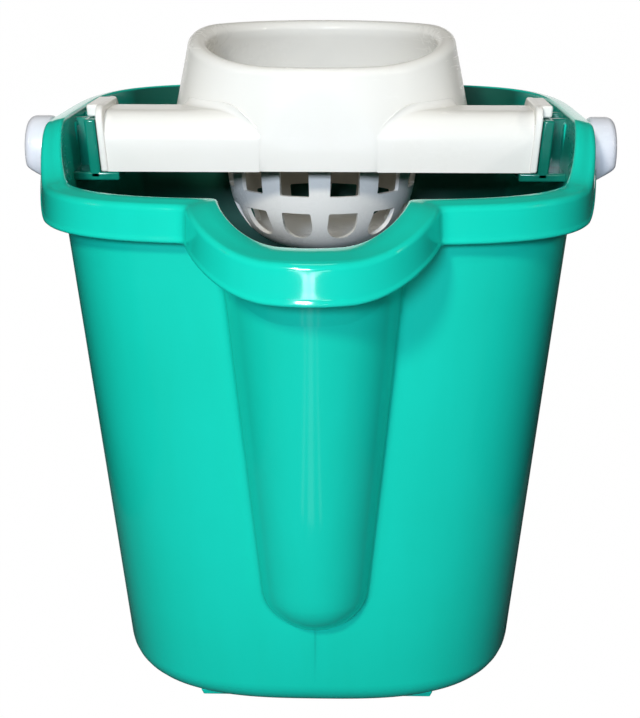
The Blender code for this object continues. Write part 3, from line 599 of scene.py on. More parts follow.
def span(side, near, far):
    """The lower and the higher X of a block that reaches from near to far on one side."""
    return sorted((side * near, side * far))


def prism_x(profile, low_x, high_x):
    """A flat profile of Y and Z carried along X."""
    return open_grid([[(x, y, z) for y, z in profile] for x in (low_x, high_x)])


def leaned(mesh, side, wringer):
    """Shears a mesh outwards with height, by the slope of the tub's side wall."""
    points, faces = mesh
    return [(x + side * wringer.lean * (z - wringer.low_z), y, z) for x, y, z in points], faces


def arc(centre, radius, start, end, steps):
    """Points of an arc, angles in degrees, in whatever plane the centre is given."""
    found = []
    for i in range(steps + 1):
        turn = math.radians(between(start, end, i / steps))
        found.append((centre[0] + radius * math.cos(turn), centre[1] + radius * math.sin(turn)))
    return found


# Spacing of the side columns next to the channel, as a share of even spacing
FRONT_CROWDING = 0.72


class TubLevel:
    """The tub's plan at one height, grown outwards by a given amount."""

    def __init__(self, sizes, z, grow=0.0, flare=0.0, forward=0.0):
        share = z / sizes.rim_z
        self.sizes = sizes
        self.half_x = between(sizes.base_half_x, sizes.top_half_x, share) + grow
        self.half_y = between(sizes.base_half_y, sizes.top_half_y, share) + grow
        self.squareness = between(sizes.base_squareness, sizes.top_squareness, share)
        self.centre_y = between(sizes.base_centre_y, sizes.top_centre_y, share)
        self.channel_at = self.half_y - grow - sizes.channel_set_in + forward
        radius = sizes.channel_low_r + sizes.channel_flare * (z - sizes.channel_low_z)
        if z < sizes.channel_low_z:
            drop = (sizes.channel_low_z - z) / sizes.channel_low_r
            radius = sizes.channel_low_r * math.sqrt(max(0.0, 1.0 - drop * drop))
        self.channel_r = max(0.0, radius + grow + flare)
        if z <= sizes.channel_low_z - sizes.channel_low_r:
            self.channel_r = 0.0

    def wall(self, angle):
        """Distance from the plan's middle to the wall."""
        across = abs(math.sin(angle)) / self.half_x
        along = abs(math.cos(angle)) / self.half_y
        return (across**self.squareness + along**self.squareness) ** (-1.0 / self.squareness)

    def channel(self, angle):
        """Distance to the far side of the channel's circle, or zero where a ray misses it."""
        offset = self.channel_at * math.sin(angle)
        if self.channel_r <= abs(offset):
            return 0.0
        return self.channel_at * math.cos(angle) + math.sqrt(self.channel_r**2 - offset**2)

    def circle_point(self, around):
        return self.channel_r * math.sin(around), self.channel_at + self.channel_r * math.cos(around)

    def outside_wall(self, around):
        x, y = self.circle_point(around)
        return math.hypot(x, y) > self.wall(math.atan2(x, y))

    def crease(self):
        """The angle round the channel's circle where it meets the wall."""
        low, high = halved(0.0, 0.75 * math.pi, 32, self.outside_wall)
        return 0.5 * (low + high)

    def on_circle(self, around):
        return math.atan2(*self.circle_point(around))

    def angle_of(self, column, crease):
        """The angle of a column of the mesh, spaced evenly round the channel and along each side."""
        front, side = self.sizes.front_columns, self.sizes.side_columns
        if column <= front:
            return self.on_circle(crease * (2.0 * column / front - 1.0))
        step = column - front
        edge = self.on_circle(crease)
        share = step / side if step <= side else (2 * side - step) / side
        share = share * between(FRONT_CROWDING, 1.0, share)
        angle = between(edge, math.pi, share)
        return angle if step <= side else -angle

    def shaped(self):
        """The level whose columns this one uses: its own, or the last one with a channel."""
        sizes = self.sizes
        if self.channel_r >= sizes.channel_least_r:
            return self
        part = sizes.channel_least_r / sizes.channel_low_r
        rise = sizes.channel_low_r * (1.0 - math.sqrt(1.0 - part * part))
        return TubLevel(sizes, sizes.channel_low_z - sizes.channel_low_r + rise)

    def at(self, angle):
        reach = max(self.wall(angle), self.channel(angle))
        return reach * math.sin(angle), self.centre_y - reach * math.cos(angle)

    def point(self, column):
        shaped = self.shaped()
        return self.at(shaped.angle_of(column, shaped.crease()))

    def ring(self):
        shaped = self.shaped()
        crease = shaped.crease()
        columns = self.sizes.front_columns + 2 * self.sizes.side_columns
        return [self.at(shaped.angle_of(column, crease)) for column in range(columns)]


def soft_creases(row, sizes, reach=2):
    """Rounds a ring of the tub where the channel meets the wall."""
    size = len(row)
    old = list(row)
    for crease in (0, sizes.front_columns):
        for step in range(-reach, reach + 1):
            i = (crease + step) % size
            before, after = Vector(old[i - 1]), Vector(old[(i + 1) % size])
            share = 0.5 * (1.0 - abs(step) / (reach + 1.0))
            row[i] = tuple(Vector(old[i]).lerp(0.5 * (before + after), share))
    return row


# Rows of the tub's mesh: round the channel's lower end, the first of them as a share, and above it
END_LEVELS = 18
FIRST_END_LEVEL = 0.039
WALL_LEVELS = 14

# Centre, radius, start and end of a quarter circle, for roundings that are scaled afterwards
QUARTER = ((0.0, 0.0), 1.0, 0.0, 90.0)

# How steeply the rim dips into the spout
SPOUT_STEEPNESS = 1.25

# Where the wall starts to lean forward at the spout and where its even rows end, in skirts below the rim
LEAN_DEPTH = 2.0
EVEN_DEPTH = 2.2

# Fillet under the rim: drop below the rim's sheet, distance from the wall, share of the spout's flare
UNDER_RIM = ((0.8 * MM, 0.3 * MM, 0.03), (0.0, 1.1 * MM, 0.08))
SKIRT_CORNER = 1.0 * MM

# Skirt above the bead of its hem: height in sheets, and distance behind the bead's front in beads
BEAD_ROWS = ((0.75, 0.1), (1.1, 0.8), (1.5, 1.0), (3.0, 1.15))
SKIRT_INSET = 1.5
RIM_INSET = 1.6


class Tub:
    """Rows of the tub's section, from the underside's middle round the rim to the floor's middle."""

    def __init__(self, sizes):
        self.sizes = sizes
        ring = TubLevel(sizes, sizes.front_rim_z).ring()
        self.tops = [self.rim_height(y, column) for column, (_, y) in enumerate(ring)]

    def across(self, column):
        """0 at the spout's middle, 1 at either end of the channel's columns."""
        return abs(2.0 * column / self.sizes.front_columns - 1.0)

    def rim_height(self, y, column):
        """Height of the rim, which ramps up behind the front and dips at the spout."""
        sizes = self.sizes
        rise = ease((y - sizes.ramp_from_y) / (sizes.ramp_to_y - sizes.ramp_from_y))
        height = between(sizes.front_rim_z, sizes.rim_z, rise)
        if column <= sizes.front_columns:
            height -= sizes.spout_dip * ease(SPOUT_STEEPNESS * (1.0 - self.across(column)))
        return height

    def spout_share(self, column):
        """1 at the spout's middle, falling to 0 at its ends."""
        if column > self.sizes.front_columns:
            return 0.0
        return 1.0 - self.across(column) ** 2

    def row(self, heights, grow, extra=0.0, flare=0.0, upright=False):
        """One ring at its own heights, on the plan of those heights or, where upright, on the rim's plan."""
        found = []
        for column, z in enumerate(heights):
            plan_z = self.tops[column] if upright else z
            level = TubLevel(self.sizes, plan_z, grow, flare, extra * self.spout_share(column))
            x, y = level.point(column)
            found.append((x, y, z))
        return soft_creases(found, self.sizes)

    def flat(self, z, grow):
        """One ring at a single height."""
        return soft_creases([(x, y, z) for x, y in TubLevel(self.sizes, z, grow).ring()], self.sizes)

    def lowered(self, by, crown=0.0):
        """Heights under the rim, with twice the crown's fall at the spout."""
        return [z - by - crown * (1.0 + self.spout_share(i)) for i, z in enumerate(self.tops)]

    def wall_levels(self):
        """Heights of the wall's rows, closer together round the channel's lower end."""
        sizes = self.sizes
        end_low = sizes.channel_low_z - sizes.channel_low_r
        found = [end_low]
        last = END_LEVELS - 1
        for i in range(END_LEVELS):
            turn = math.acos(1.0 - 2.0 * between(FIRST_END_LEVEL, 1.0, i / last)) / math.pi
            found.append(between(end_low, sizes.channel_low_z, max(FIRST_END_LEVEL, turn**1.4)))
        found[-1] = sizes.channel_low_z
        high = sizes.front_rim_z - EVEN_DEPTH * sizes.skirt
        for i in range(1, WALL_LEVELS + 1):
            found.append(between(sizes.channel_low_z, high, i / WALL_LEVELS))
        return sorted(set(found))

    def fillet_row(self, inset, lift, z, rise, grow):
        """A row of the rounding between wall and floor."""
        return self.flat(z + rise * (1.0 - inset), grow - self.sizes.base_fillet * (1.0 - lift))

    def leaning_rows(self, shares, grow):
        """Rows of the wall below the rim, which leans forward at the spout."""
        sizes = self.sizes
        rows = []
        for share in shares:
            heights = self.lowered(between(LEAN_DEPTH * sizes.skirt, sizes.rim_sheet, share))
            rows.append(self.row(heights, grow, sizes.spout_lean * share))
        return rows

    def rows(self):
        levels = self.wall_levels()
        low_wall = self.lowered(LEAN_DEPTH * self.sizes.skirt)
        return self.outer_rows(levels, low_wall) + self.rim_rows() + self.inner_rows(levels, low_wall)

    def outer_rows(self, levels, low_wall):
        """Rows from the underside up the outside of the wall."""
        sizes = self.sizes
        rows = []
        for inset, lift in arc(*QUARTER, 8):
            rows.append(self.fillet_row(inset, lift, sizes.base_z, sizes.base_fillet, 0.0))
        rows += [self.flat(z, 0.0) for z in levels]
        rows.append(self.row(low_wall, 0.0))
        return rows + self.leaning_rows((0.35, 0.65, 0.85, 0.95), 0.0)

    def rim_rows(self):
        """Rows along the rim's underside, down inside the skirt, round its hem and over the crowned top."""
        sizes = self.sizes
        lean, out, flare = sizes.spout_lean, sizes.spout_lean + sizes.spout_reach, sizes.spout_flare
        sheet, band = sizes.rim_sheet, sizes.band
        crown, bead = sizes.rim_crown, sizes.hem_bead
        rows = []
        for drop, grow, share in UNDER_RIM:
            rows.append(self.row(self.lowered(sheet + drop), grow, lean, share * flare))
        rows.append(self.row(self.lowered(sheet), band - sheet - SKIRT_CORNER, out, flare))

        def skirt_row(heights, grow):
            rows.append(self.row(heights, grow, out, flare, True))

        skirt_row(self.lowered(sheet + SKIRT_CORNER), band - sheet)
        hem = [z - sizes.skirt - sizes.spout_skirt * self.spout_share(i) for i, z in enumerate(self.tops)]
        skirt_row([z + 0.5 * sheet for z in hem], band - sheet)
        for across, rise in arc((0.5, 0.5), 0.5, 180.0, 360.0, 6):
            skirt_row([z + sheet * rise for z in hem], band - sheet + sheet * across)
        for rise, inset in BEAD_ROWS:
            skirt_row([z + rise * sheet for z in hem], band - inset * bead)
        skirt_row(self.lowered(2.0 * sizes.rim_round, crown), band - SKIRT_INSET * bead)
        for inset, drop in arc(*QUARTER, 7):
            inset, drop = sizes.rim_round * (1.0 - inset), sizes.rim_round * (1.0 - drop)
            skirt_row(self.lowered(drop, crown), band - RIM_INSET * bead - inset)
        on_top = between(-sizes.wall, band, 0.45)
        rows.append(self.row(self.lowered(0.0, 0.4 * crown), on_top, 0.5 * (lean + out), 0.5 * flare))
        return rows

    def inner_rows(self, levels, low_wall):
        """Rows over the rim's inner edge and down the inside of the wall to the floor."""
        sizes = self.sizes
        inner = -sizes.wall
        rows = []
        for across, drop in arc((0.0, 0.0), 1.0, 90.0, 180.0, 7):
            grow = inner + sizes.inner_round * (1.0 + across)
            rows.append(self.row(self.lowered(sizes.inner_round * (1.0 - drop)), grow, sizes.spout_lean))
        rows += self.leaning_rows((0.9, 0.65, 0.35), inner)
        rows.append(self.row(low_wall, inner))
        rows += [self.flat(z, inner) for z in reversed(levels)]
        floor_z, rise = sizes.base_z + sizes.floor, sizes.base_fillet - sizes.floor
        for inset, lift in reversed(arc(*QUARTER, 6)):
            rows.append(self.fillet_row(inset, lift, floor_z, rise, inner))
        return rows

    def wall_x(self, y, z):
        """Half-width of the outer wall at a place along the depth."""
        level = TubLevel(self.sizes, z)
        ahead = level.centre_y - y

        def inside(x):
            return math.hypot(x, ahead) < level.wall(math.atan2(x, ahead))

        return halved(0.0, level.half_x, 40, inside)[0]

    def back_y(self):
        """Back edge of the rim."""
        level = TubLevel(self.sizes, self.sizes.rim_z)
        return level.centre_y + level.half_y + self.sizes.band


class RoundedBlocks:
    """What the operators share that build pieces with rounded edges."""

    def block(self, name, mesh, material, width, segments=3):
        piece = add_piece(name, *mesh, material)
        rounded(piece, width, segments)
        self.keep(piece)


class MOPBUCKET_OT_tub(bpy.types.Operator):
    """Builds the tub with its rolled rim, spout and channel as one smooth shell"""

    bl_idname = "mopbucket.tub"
    bl_label = "Tub"

    def execute(self, context):
        scene = context.scene
        sizes, colours = plain(scene.mop_tub), scene.mop_colours
        # Painted shade: the tub's inside faces are blended towards the darker inside colour
        green = moulded_plastic(
            "tub_green", colours.tub, colours.tub_deep, roughness=0.10, inside=colours.tub_inside_shade
        )
        under = (0.0, sizes.base_centre_y, sizes.base_z)
        floor = (0.0, sizes.base_centre_y, sizes.base_z + sizes.floor)
        shell = add_piece("tub_shell", *loft(Tub(sizes).rows(), under, floor), green, sharp_angle=50.0)
        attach(shell, "tub")
        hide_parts("bucket")
        return {"FINISHED"}


# Feet: their tops inside the floor, their lower faces as a share of the upper ones, and their edges
FOOT_TOP_Z = 4.0 * MM
FOOT_TAPER = 0.86
FOOT_EDGE = 0.8 * MM

# Guides: the share of the wall that they are sunk in, how far their ends are set back, and their edges
GUIDE_SUNK = 0.6
GUIDE_LIFT = 1.0 * MM
WEB_DROP = 2.0 * MM
RAIL_EDGE = 1.1 * MM
GUIDE_EDGE = 0.9 * MM

# Pivots: the share of the wall that a boss is sunk in, how deep a peg is sunk in its boss, and their edges
BOSS_SUNK = 0.5
BOSS_EDGE = 2.0 * MM
PEG_SUNK = 3.0 * MM
PEG_EDGE = 1.0 * MM
PEG_STEPS = 40


class MOPBUCKET_OT_tub_fittings(RoundedBlocks, bpy.types.Operator):
    """Builds the feet, the guides that carry the wringer and the pivots of the bail"""

    bl_idname = "mopbucket.tub_fittings"
    bl_label = "Tub fittings"

    def execute(self, context):
        scene = context.scene
        self.sizes, self.tub = plain(scene.mop_fittings), Tub(plain(scene.mop_tub))
        self.green, colours = bpy.data.materials["tub_green"], scene.mop_colours
        # Painted shade: the rails, webs and ledges are made in two dark greens, much darker than the tub,
        # standing in for the shade inside it
        tones = colours.guide, colours.tub_inside_shade
        self.inside = moulded_plastic("guide_shaded_green", *tones, roughness=0.14)
        for side, name in SIDES:
            self.guides(side, name, plain(scene.mop_wringer))
            self.pivot(side, name)
            for depth, place in ((-1, "front"), (1, "back")):
                self.foot(side, depth, place + "_" + name)
        return {"FINISHED"}

    def keep(self, piece):
        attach(piece, "tub")

    def foot(self, side, depth, name):
        sizes = self.sizes
        x, y = side * sizes.foot_x, depth * sizes.foot_y
        low = (x - sizes.foot_wide / 2, y - sizes.foot_deep / 2, 0.0)
        high = (x + sizes.foot_wide / 2, y + sizes.foot_deep / 2, FOOT_TOP_Z)
        self.block("foot_" + name, box_mesh(low, high, FOOT_TAPER), self.green, FOOT_EDGE)

    def guides(self, side, name, wringer):
        """The rail beside an end plate, the two webs that carry it and the ledge below."""
        sizes, tub = self.sizes, self.tub
        near = wringer.plate_x + wringer.plate + sizes.guide_clear
        low_z = sizes.ledge_top_z - sizes.ledge
        sunk = GUIDE_SUNK * tub.sizes.wall
        left, right = span(side, near, near + sizes.rail)
        low = (left, sizes.rail_front_y, low_z + GUIDE_LIFT)
        high = (right, sizes.rail_back_y, sizes.guide_top_z)
        self.block("rail_" + name, leaned(box_mesh(low, high), side, wringer), self.inside, RAIL_EDGE)
        for y, place in ((sizes.guide_front_y, "front"), (sizes.guide_back_y, "back")):
            far = tub.wall_x(y + sizes.guide / 2, wringer.low_z) - sunk
            left, right = span(side, near + 0.5 * sizes.rail, far)
            low = (left, y, low_z + GUIDE_LIFT)
            high = (right, y + sizes.guide, sizes.guide_top_z - WEB_DROP)
            web = leaned(box_mesh(low, high), side, wringer)
            self.block("guide_" + place + "_" + name, web, self.inside, GUIDE_EDGE)
        far = tub.wall_x(sizes.rail_front_y, low_z) - sunk
        left, right = span(side, sizes.ledge_x, far)
        low = (left, sizes.rail_front_y, low_z)
        high = (right, sizes.rail_back_y, sizes.ledge_top_z)
        self.block("ledge_" + name, box_mesh(low, high), self.inside, GUIDE_EDGE)

    def pivot(self, side, name):
        """The boss on the tub's side and the peg on which the bail turns."""
        sizes, y, z = self.sizes, PIVOT_FROM_MIDDLE, PIVOT.z
        near = self.tub.wall_x(y, sizes.boss_low_z) - BOSS_SUNK * self.tub.sizes.wall
        left, right = span(side, near, sizes.boss_end_x)
        low = (left, y - sizes.boss_half_y, sizes.boss_low_z)
        high = (right, y + sizes.boss_half_y, sizes.boss_high_z)
        self.block("boss_" + name, box_mesh(low, high), self.green, BOSS_EDGE, segments=4)
        end, r, edge = sizes.peg_end_x, sizes.peg_r, PEG_EDGE
        stations = [(sizes.boss_end_x - PEG_SUNK, r), (end - edge, r)]
        stations += [(end - 0.3 * edge, r - 0.3 * edge), (end, r - edge)]
        self.keep(add_piece("peg_" + name, *turned_x(stations, side, (y, z), PEG_STEPS), self.green))


def turned_x(stations, side, centre, steps):
    """A solid turned about a line along X, given as pairs of distance from the middle and radius."""
    rows = []
    for x, r in stations:
        row = []
        for step in range(steps):
            turn = 2.0 * math.pi * step / steps
            row.append((side * x, centre[0] + r * math.cos(turn), centre[1] + r * math.sin(turn)))
        rows.append(row)
    first, last = stations[0][0], stations[-1][0]
    return loft(rows, (side * first, *centre), (side * last, *centre))


# Turn from the front, in degrees, over which the mouth's lip rises to its full height
LIP_RISE = (20.0, 118.0)

# Rows of the collar's mesh up the outside, over the lip and down the inside
OUTSIDE_ROWS = 14
LIP_ROWS = 14
INSIDE_ROWS = 12

# Collar: how far its flat front and its lower edge are set back, and how soft its bends and edges are
FLAT_SET_BACK = 0.15 * MM
FLAT_SOFTNESS = 1.6 * MM
EDGE_SET_UP = 0.24 * MM
COLLAR_EDGE = 0.8 * MM
BEND_SOFTNESS = 2.0 * MM
DECK_EDGE = 0.6 * MM

# Arms: rows of their roundings and of the fillet at the collar, and how deep fillet and arm are sunk in it
CORNER_ROWS = 10
FILLET_ROWS = 8
FILLET_SUNK = 0.3 * MM
ARM_SUNK = 1.3 * MM


class Head:
    """Shapes of the wringer head."""

    def __init__(self, sizes):
        self.sizes = sizes

    def radius(self, z):
        """Outer radius of the collar at a height."""
        return self.sizes.collar_r - self.sizes.taper * max(0.0, z - self.sizes.bend_z)

    def mouth(self, angle):
        """Height of the lip's crest, which rises from the front to the sides."""
        low, high = (math.radians(turn) for turn in LIP_RISE)
        share = ease((angle - low) / (high - low))
        return between(self.sizes.mouth_front_z, self.sizes.mouth_back_z, share)

    def section(self, angle):
        """Radius, height and distance behind the bar's front, round the collar's wall at one angle."""
        sizes = self.sizes
        front, within = FLAT_SET_BACK, FLAT_SET_BACK + sizes.wall
        low = sizes.low_z + EDGE_SET_UP
        bend_low, bend_high = sizes.bend_z - BEND_SOFTNESS, sizes.bend_z + BEND_SOFTNESS
        lip_z = self.mouth(angle) - sizes.lip_roll
        lip_r = self.radius(lip_z) - sizes.lip_roll
        heights = [low, low + COLLAR_EDGE, between(low, sizes.bend_z, 0.5), bend_low]
        heights += [between(bend_high, lip_z, i / OUTSIDE_ROWS) for i in range(OUTSIDE_ROWS)]
        found = [(self.radius(z), z, front) for z in heights]
        found[0] = (found[0][0] - COLLAR_EDGE, low, front)
        found += [(r, z, front) for r, z in arc((lip_r, lip_z), sizes.lip_roll, 0.0, 180.0, LIP_ROWS)]
        top = sizes.deck_z + sizes.deck
        for i in range(1, INSIDE_ROWS + 1):
            share = i / INSIDE_ROWS
            z = between(lip_z, top, share)
            thick = between(sizes.wall, 2.0 * sizes.lip_roll, (1.0 - share) ** 2)
            found.append((self.radius(z) - thick, z, within))
        nest, outer = sizes.nest_r, sizes.nest_r + sizes.wall
        deck = [(sizes.hole_r + DECK_EDGE, top), (sizes.hole_r, top - DECK_EDGE)]
        deck += [(sizes.hole_r, sizes.deck_z)]
        deck += [(nest, sizes.deck_z), (nest, sizes.nest_low_z)]
        deck += [(outer, sizes.nest_low_z), (outer, sizes.deck_z)]
        deck += [(self.radius(z) - sizes.wall, z) for z in (sizes.deck_z, low)]
        return found + [(r, z, within) for r, z in deck]

    def collar(self):
        """The collar, its rolled mouth, the deck and the nest, cut flat along the front with a soft edge."""
        sizes = self.sizes
        sections = []
        for step in range(sizes.steps):
            angle = 2.0 * math.pi * step / sizes.steps
            section = []
            for r, z, behind in self.section(min(angle, 2.0 * math.pi - angle)):
                round_y, flat_y = sizes.collar_y - r * math.cos(angle), sizes.bar_front_y + behind
                y = soft_max(round_y, flat_y, FLAT_SOFTNESS)
                section.append((r * math.sin(angle), y, z))
            sections.append(section)
        return closed_grid(sections)

    def bar_outline(self, inset):
        """The bar's section from its back lower edge over the top to its front lower edge."""
        sizes = self.sizes
        front, back, top = sizes.bar_front_y + inset, sizes.bar_back_y - inset, sizes.bar_top_z - inset
        front_r, back_r = sizes.bar_front_round - inset, sizes.bar_back_round - inset
        found = [(back, between(sizes.low_z, top - back_r, share)) for share in (0.0, 0.5)]
        found += arc((back - back_r, top - back_r), back_r, 0.0, 90.0, CORNER_ROWS)
        found += [(between(back - back_r, front + front_r, share), top) for share in (0.25, 0.5, 0.75)]
        found += arc((front + front_r, top - front_r), front_r, 90.0, 180.0, CORNER_ROWS)
        found += [(front, between(top - front_r, sizes.low_z, share)) for share in (0.5, 1.0)]
        return found

    def collar_x(self, y, z):
        """Half-width of the collar at a place along the depth."""
        square = self.radius(z) ** 2 - (y - self.sizes.collar_y) ** 2
        return math.sqrt(max(0.0, square))

    def arm(self, side):
        """One arm of the hollow bar, with a fillet at the collar, from within its wall to the end plate."""
        sizes = self.sizes
        outer, inner = self.bar_outline(0.0), self.bar_outline(sizes.wall)
        fillet = sizes.bar_fillet
        rows = []
        reaches = [(-ARM_SUNK, fillet)]
        for i in range(FILLET_ROWS + 1):
            turn = 0.5 * math.pi * i / FILLET_ROWS
            reaches.append((fillet * (1.0 - math.cos(turn)) - FILLET_SUNK, fillet * (1.0 - math.sin(turn))))
        for reach, swell in reaches:
            row = []
            for i, (y, z) in enumerate(outer):
                before, after = outer[max(0, i - 1)], outer[min(len(outer) - 1, i + 1)]
                along = Vector((after[0] - before[0], after[1] - before[1])).normalized()
                weight = ease((y - sizes.bar_front_y) / (0.7 * sizes.bar_front_round))
                y_out, z_out = y + along.y * swell * weight, z - along.x * swell * weight
                x = self.collar_x(y, min(z, z_out)) + reach
                row.append((side * x, y_out, z_out))
            for y, z in reversed(inner):
                row.append((side * (self.collar_x(y, z) + min(reach, 0.0)), y, z))
            rows.append(row)
        straight = outer + list(reversed(inner))
        for share in (0.35, 0.7, 1.0):
            row = []
            for (x, _, _), (y, z) in zip(rows[len(reaches) - 1], straight):
                end = sizes.plate_x + 0.5 * sizes.plate + sizes.lean * (z - sizes.low_z)
                row.append((side * between(abs(x), end, share), y, z))
            rows.append(row)
        return open_grid(rows)

    def plate_outline(self):
        """The end plate's outline in Y and Z."""
        sizes = self.sizes
        r = sizes.plate_round
        found = [(sizes.plate_front_y, sizes.low_z), (sizes.plate_back_y, sizes.low_z)]
        found += arc((sizes.plate_back_y - r, sizes.plate_top_z - r), r, 0.0, 90.0, CORNER_ROWS)
        found += arc((sizes.plate_front_y + r, sizes.plate_top_z - r), r, 90.0, 180.0, CORNER_ROWS)
        return found


def soft_max(first, second, width):
    """The larger of two values, with a soft bend where they are alike."""
    gap = max(width - abs(first - second), 0.0) / width
    return max(first, second) + 0.25 * width * gap * gap


# End plates and hooks: their edges, and how far a hook is sunk in its plate, set back and set down
PLATE_EDGE = 1.0 * MM
HOOK_EDGE = 1.4 * MM
HOOK_SUNK = 1.9 * MM
HOOK_SET_BACK = 1.0 * MM
HOOK_SET_DOWN = 0.12 * MM

# Back tab: its edge, its gap to the rim, and the share of the collar's wall that it is sunk in
TAB_EDGE = 1.2 * MM
TAB_GAP = 0.3 * MM
TAB_SUNK = 0.7


class MOPBUCKET_OT_wringer_head(RoundedBlocks, bpy.types.Operator):
    """Builds the wringer's collar, bridge bar, end plates, hooks and back tab"""

    bl_idname = "mopbucket.wringer_head"
    bl_label = "Wringer head"

    def execute(self, context):
        scene = context.scene
        sizes, colours = plain(scene.mop_wringer), scene.mop_colours
        head = Head(sizes)
        tones = colours.head, colours.head_deep
        self.white = moulded_plastic("head_white", *tones, roughness=0.22, glow=0.06, shine=0.3)
        collar = add_piece("wringer_collar", *head.collar(), self.white, sharp_angle=45.0)
        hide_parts("wringer_head")
        self.keep(collar)
        for side, name in SIDES:
            self.keep(add_piece("bar_arm_" + name, *head.arm(side), self.white, sharp_angle=45.0))
            self.end_plate(head, side, name)
        self.tab(head, plain(scene.mop_tub))
        return {"FINISHED"}

    def keep(self, piece):
        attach(piece, "wringer")

    def end_plate(self, head, side, name):
        """The plate that closes an arm, and the hook on it."""
        sizes = head.sizes
        outer = sizes.plate_x + sizes.plate
        plate = prism_x(head.plate_outline(), *span(side, sizes.plate_x, outer))
        self.block("end_plate_" + name, leaned(plate, side, sizes), self.white, PLATE_EDGE)
        left, right = span(side, outer - HOOK_SUNK, outer + sizes.hook_reach)
        low = (left, sizes.plate_front_y + sizes.plate_round + HOOK_SET_BACK, sizes.hook_low_z)
        high = (right, sizes.plate_back_y - sizes.plate_round, sizes.plate_top_z - HOOK_SET_DOWN)
        self.block("hook_" + name, leaned(box_mesh(low, high), side, sizes), self.white, HOOK_EDGE)

    def tab(self, head, rim):
        """The tab at the back that lies on the tub's rim."""
        sizes = head.sizes
        low_z = rim.rim_z + TAB_GAP
        low = (-sizes.tab_half, sizes.collar_y + head.radius(rim.rim_z) - TAB_SUNK * sizes.wall, low_z)
        high = (sizes.tab_half, Tub(rim).back_y() - rim.rim_round, low_z + sizes.tab)
        self.block("back_tab", box_mesh(low, high), self.white, TAB_EDGE)


# Bottom of the cup: drop of its bend, and radii of the bend and of the flat, as shares
BEND_DROP = 0.7
BEND_SHARE = 0.74
FLAT_SHARE = 0.36

# Slots: corners as shares of half their width, and where the cutters begin and end as shares of the radius
UPPER_CORNER = 0.12
LOWER_CORNER = 0.96
TOP_CORNER = 0.12
CUT_BETWEEN = (0.5, 1.15)

# Angle in degrees above which the basket's edges stay sharp
BASKET_SHARP = 30.0


class MOPBUCKET_OT_basket(bpy.types.Operator):
    """Builds the slotted basket that hangs under the head"""

    bl_idname = "mopbucket.basket"
    bl_label = "Basket"

    def execute(self, context):
        scene = context.scene
        self.sizes, self.middle_y = plain(scene.mop_basket), scene.mop_wringer.collar_y
        colours = scene.mop_colours
        tones = colours.basket, colours.basket_deep
        # Painted shade: the basket's inside faces are blended towards the duller inside tone
        white = moulded_plastic(
            "basket_white",
            *tones,
            roughness=0.24,
            glow=0.04,
            inside=colours.basket_inside_shade,
            middle_y=self.middle_y,
            shine=0.6,
        )
        sizes = self.sizes
        basket = add_piece("basket", *self.cup(), white, BASKET_SHARP)
        cutters = [
            self.cutter("slots_upper", sizes.upper_low_z, sizes.upper_high_z, UPPER_CORNER),
            self.cutter("slots_lower", sizes.lower_low_z, sizes.lower_high_z, LOWER_CORNER),
        ]
        for cutter in cutters:
            modifier = basket.modifiers.new("Slots", "BOOLEAN")
            modifier.operation = "DIFFERENCE"
            modifier.object = cutter
            modifier.solver = "EXACT"
        bake_modifiers(basket)
        for cutter in cutters:
            bpy.data.objects.remove(cutter, do_unlink=True)
        finish_mesh(basket, white, BASKET_SHARP)
        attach(basket, "wringer")
        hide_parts("wringer_basket")
        return {"FINISHED"}

    def cup(self):
        """The cup turned about its axis, with a soft bend at each change of slope."""
        sizes = self.sizes
        low = sizes.top_z - sizes.flange
        bend = between(sizes.low_z, sizes.bottom_z, BEND_DROP)
        wall = sizes.wall
        bend_r, flat_r = BEND_SHARE * sizes.low_r, FLAT_SHARE * sizes.low_r
        corners = [(sizes.cup_r, low), (sizes.cup_r, sizes.straight_z), (sizes.taper_r, sizes.taper_z)]
        corners += [(sizes.low_r, sizes.low_z), (bend_r, bend), (flat_r, sizes.bottom_z)]
        corners += [(sizes.drain_r, sizes.bottom_z)]
        inside = [(sizes.cup_r - wall, sizes.top_z), (sizes.cup_r - wall, sizes.straight_z)]
        inside += [(sizes.taper_r - wall, sizes.taper_z), (sizes.low_r - wall, sizes.low_z + 0.5 * wall)]
        inside += [(bend_r - 0.5 * wall, bend + wall), (flat_r, sizes.bottom_z + wall)]
        inside += [(sizes.drain_r, sizes.bottom_z + wall)]
        profile = [(sizes.flange_r, sizes.top_z), (sizes.flange_r, low)] + smooth_line(corners)
        profile += list(reversed(smooth_line(inside)))
        sections = []
        for step in range(sizes.steps):
            turn = 2.0 * math.pi * step / sizes.steps
            sine, cosine = math.sin(turn), math.cos(turn)
            sections.append([(r * sine, self.middle_y - r * cosine, z) for r, z in profile])
        return closed_grid(sections)

    def cutter(self, name, low, high, bend_share):
        """Radial prisms for one row of slots, round below by a share of their half width."""
        sizes = self.sizes
        half = sizes.cup_r * math.sin(0.5 * sizes.slot_angle)
        bend, crown = bend_share * half, TOP_CORNER * half
        outline = arc((-half + bend, low + bend), bend, 180.0, 270.0, 6)
        outline += arc((half - bend, low + bend), bend, 270.0, 360.0, 6)
        outline += arc((half - crown, high - crown), crown, 0.0, 90.0, 3)
        outline += arc((-half + crown, high - crown), crown, 90.0, 180.0, 3)
        points, faces = [], []
        for slot in range(sizes.slots):
            turn = 2.0 * math.pi * (slot + 0.5) / sizes.slots
            rows = []
            for share in CUT_BETWEEN:
                r = share * sizes.cup_r
                row = []
                for across, z in outline:
                    x = r * math.sin(turn) + across * math.cos(turn)
                    row.append((x, self.middle_y - r * math.cos(turn) + across * math.sin(turn), z))
                rows.append(row)
            more, more_faces = open_grid(rows)
            faces += [tuple(len(points) + i for i in face) for face in more_faces]
            points += more
        return add_piece(name, points, faces, bpy.data.materials["basket_white"])


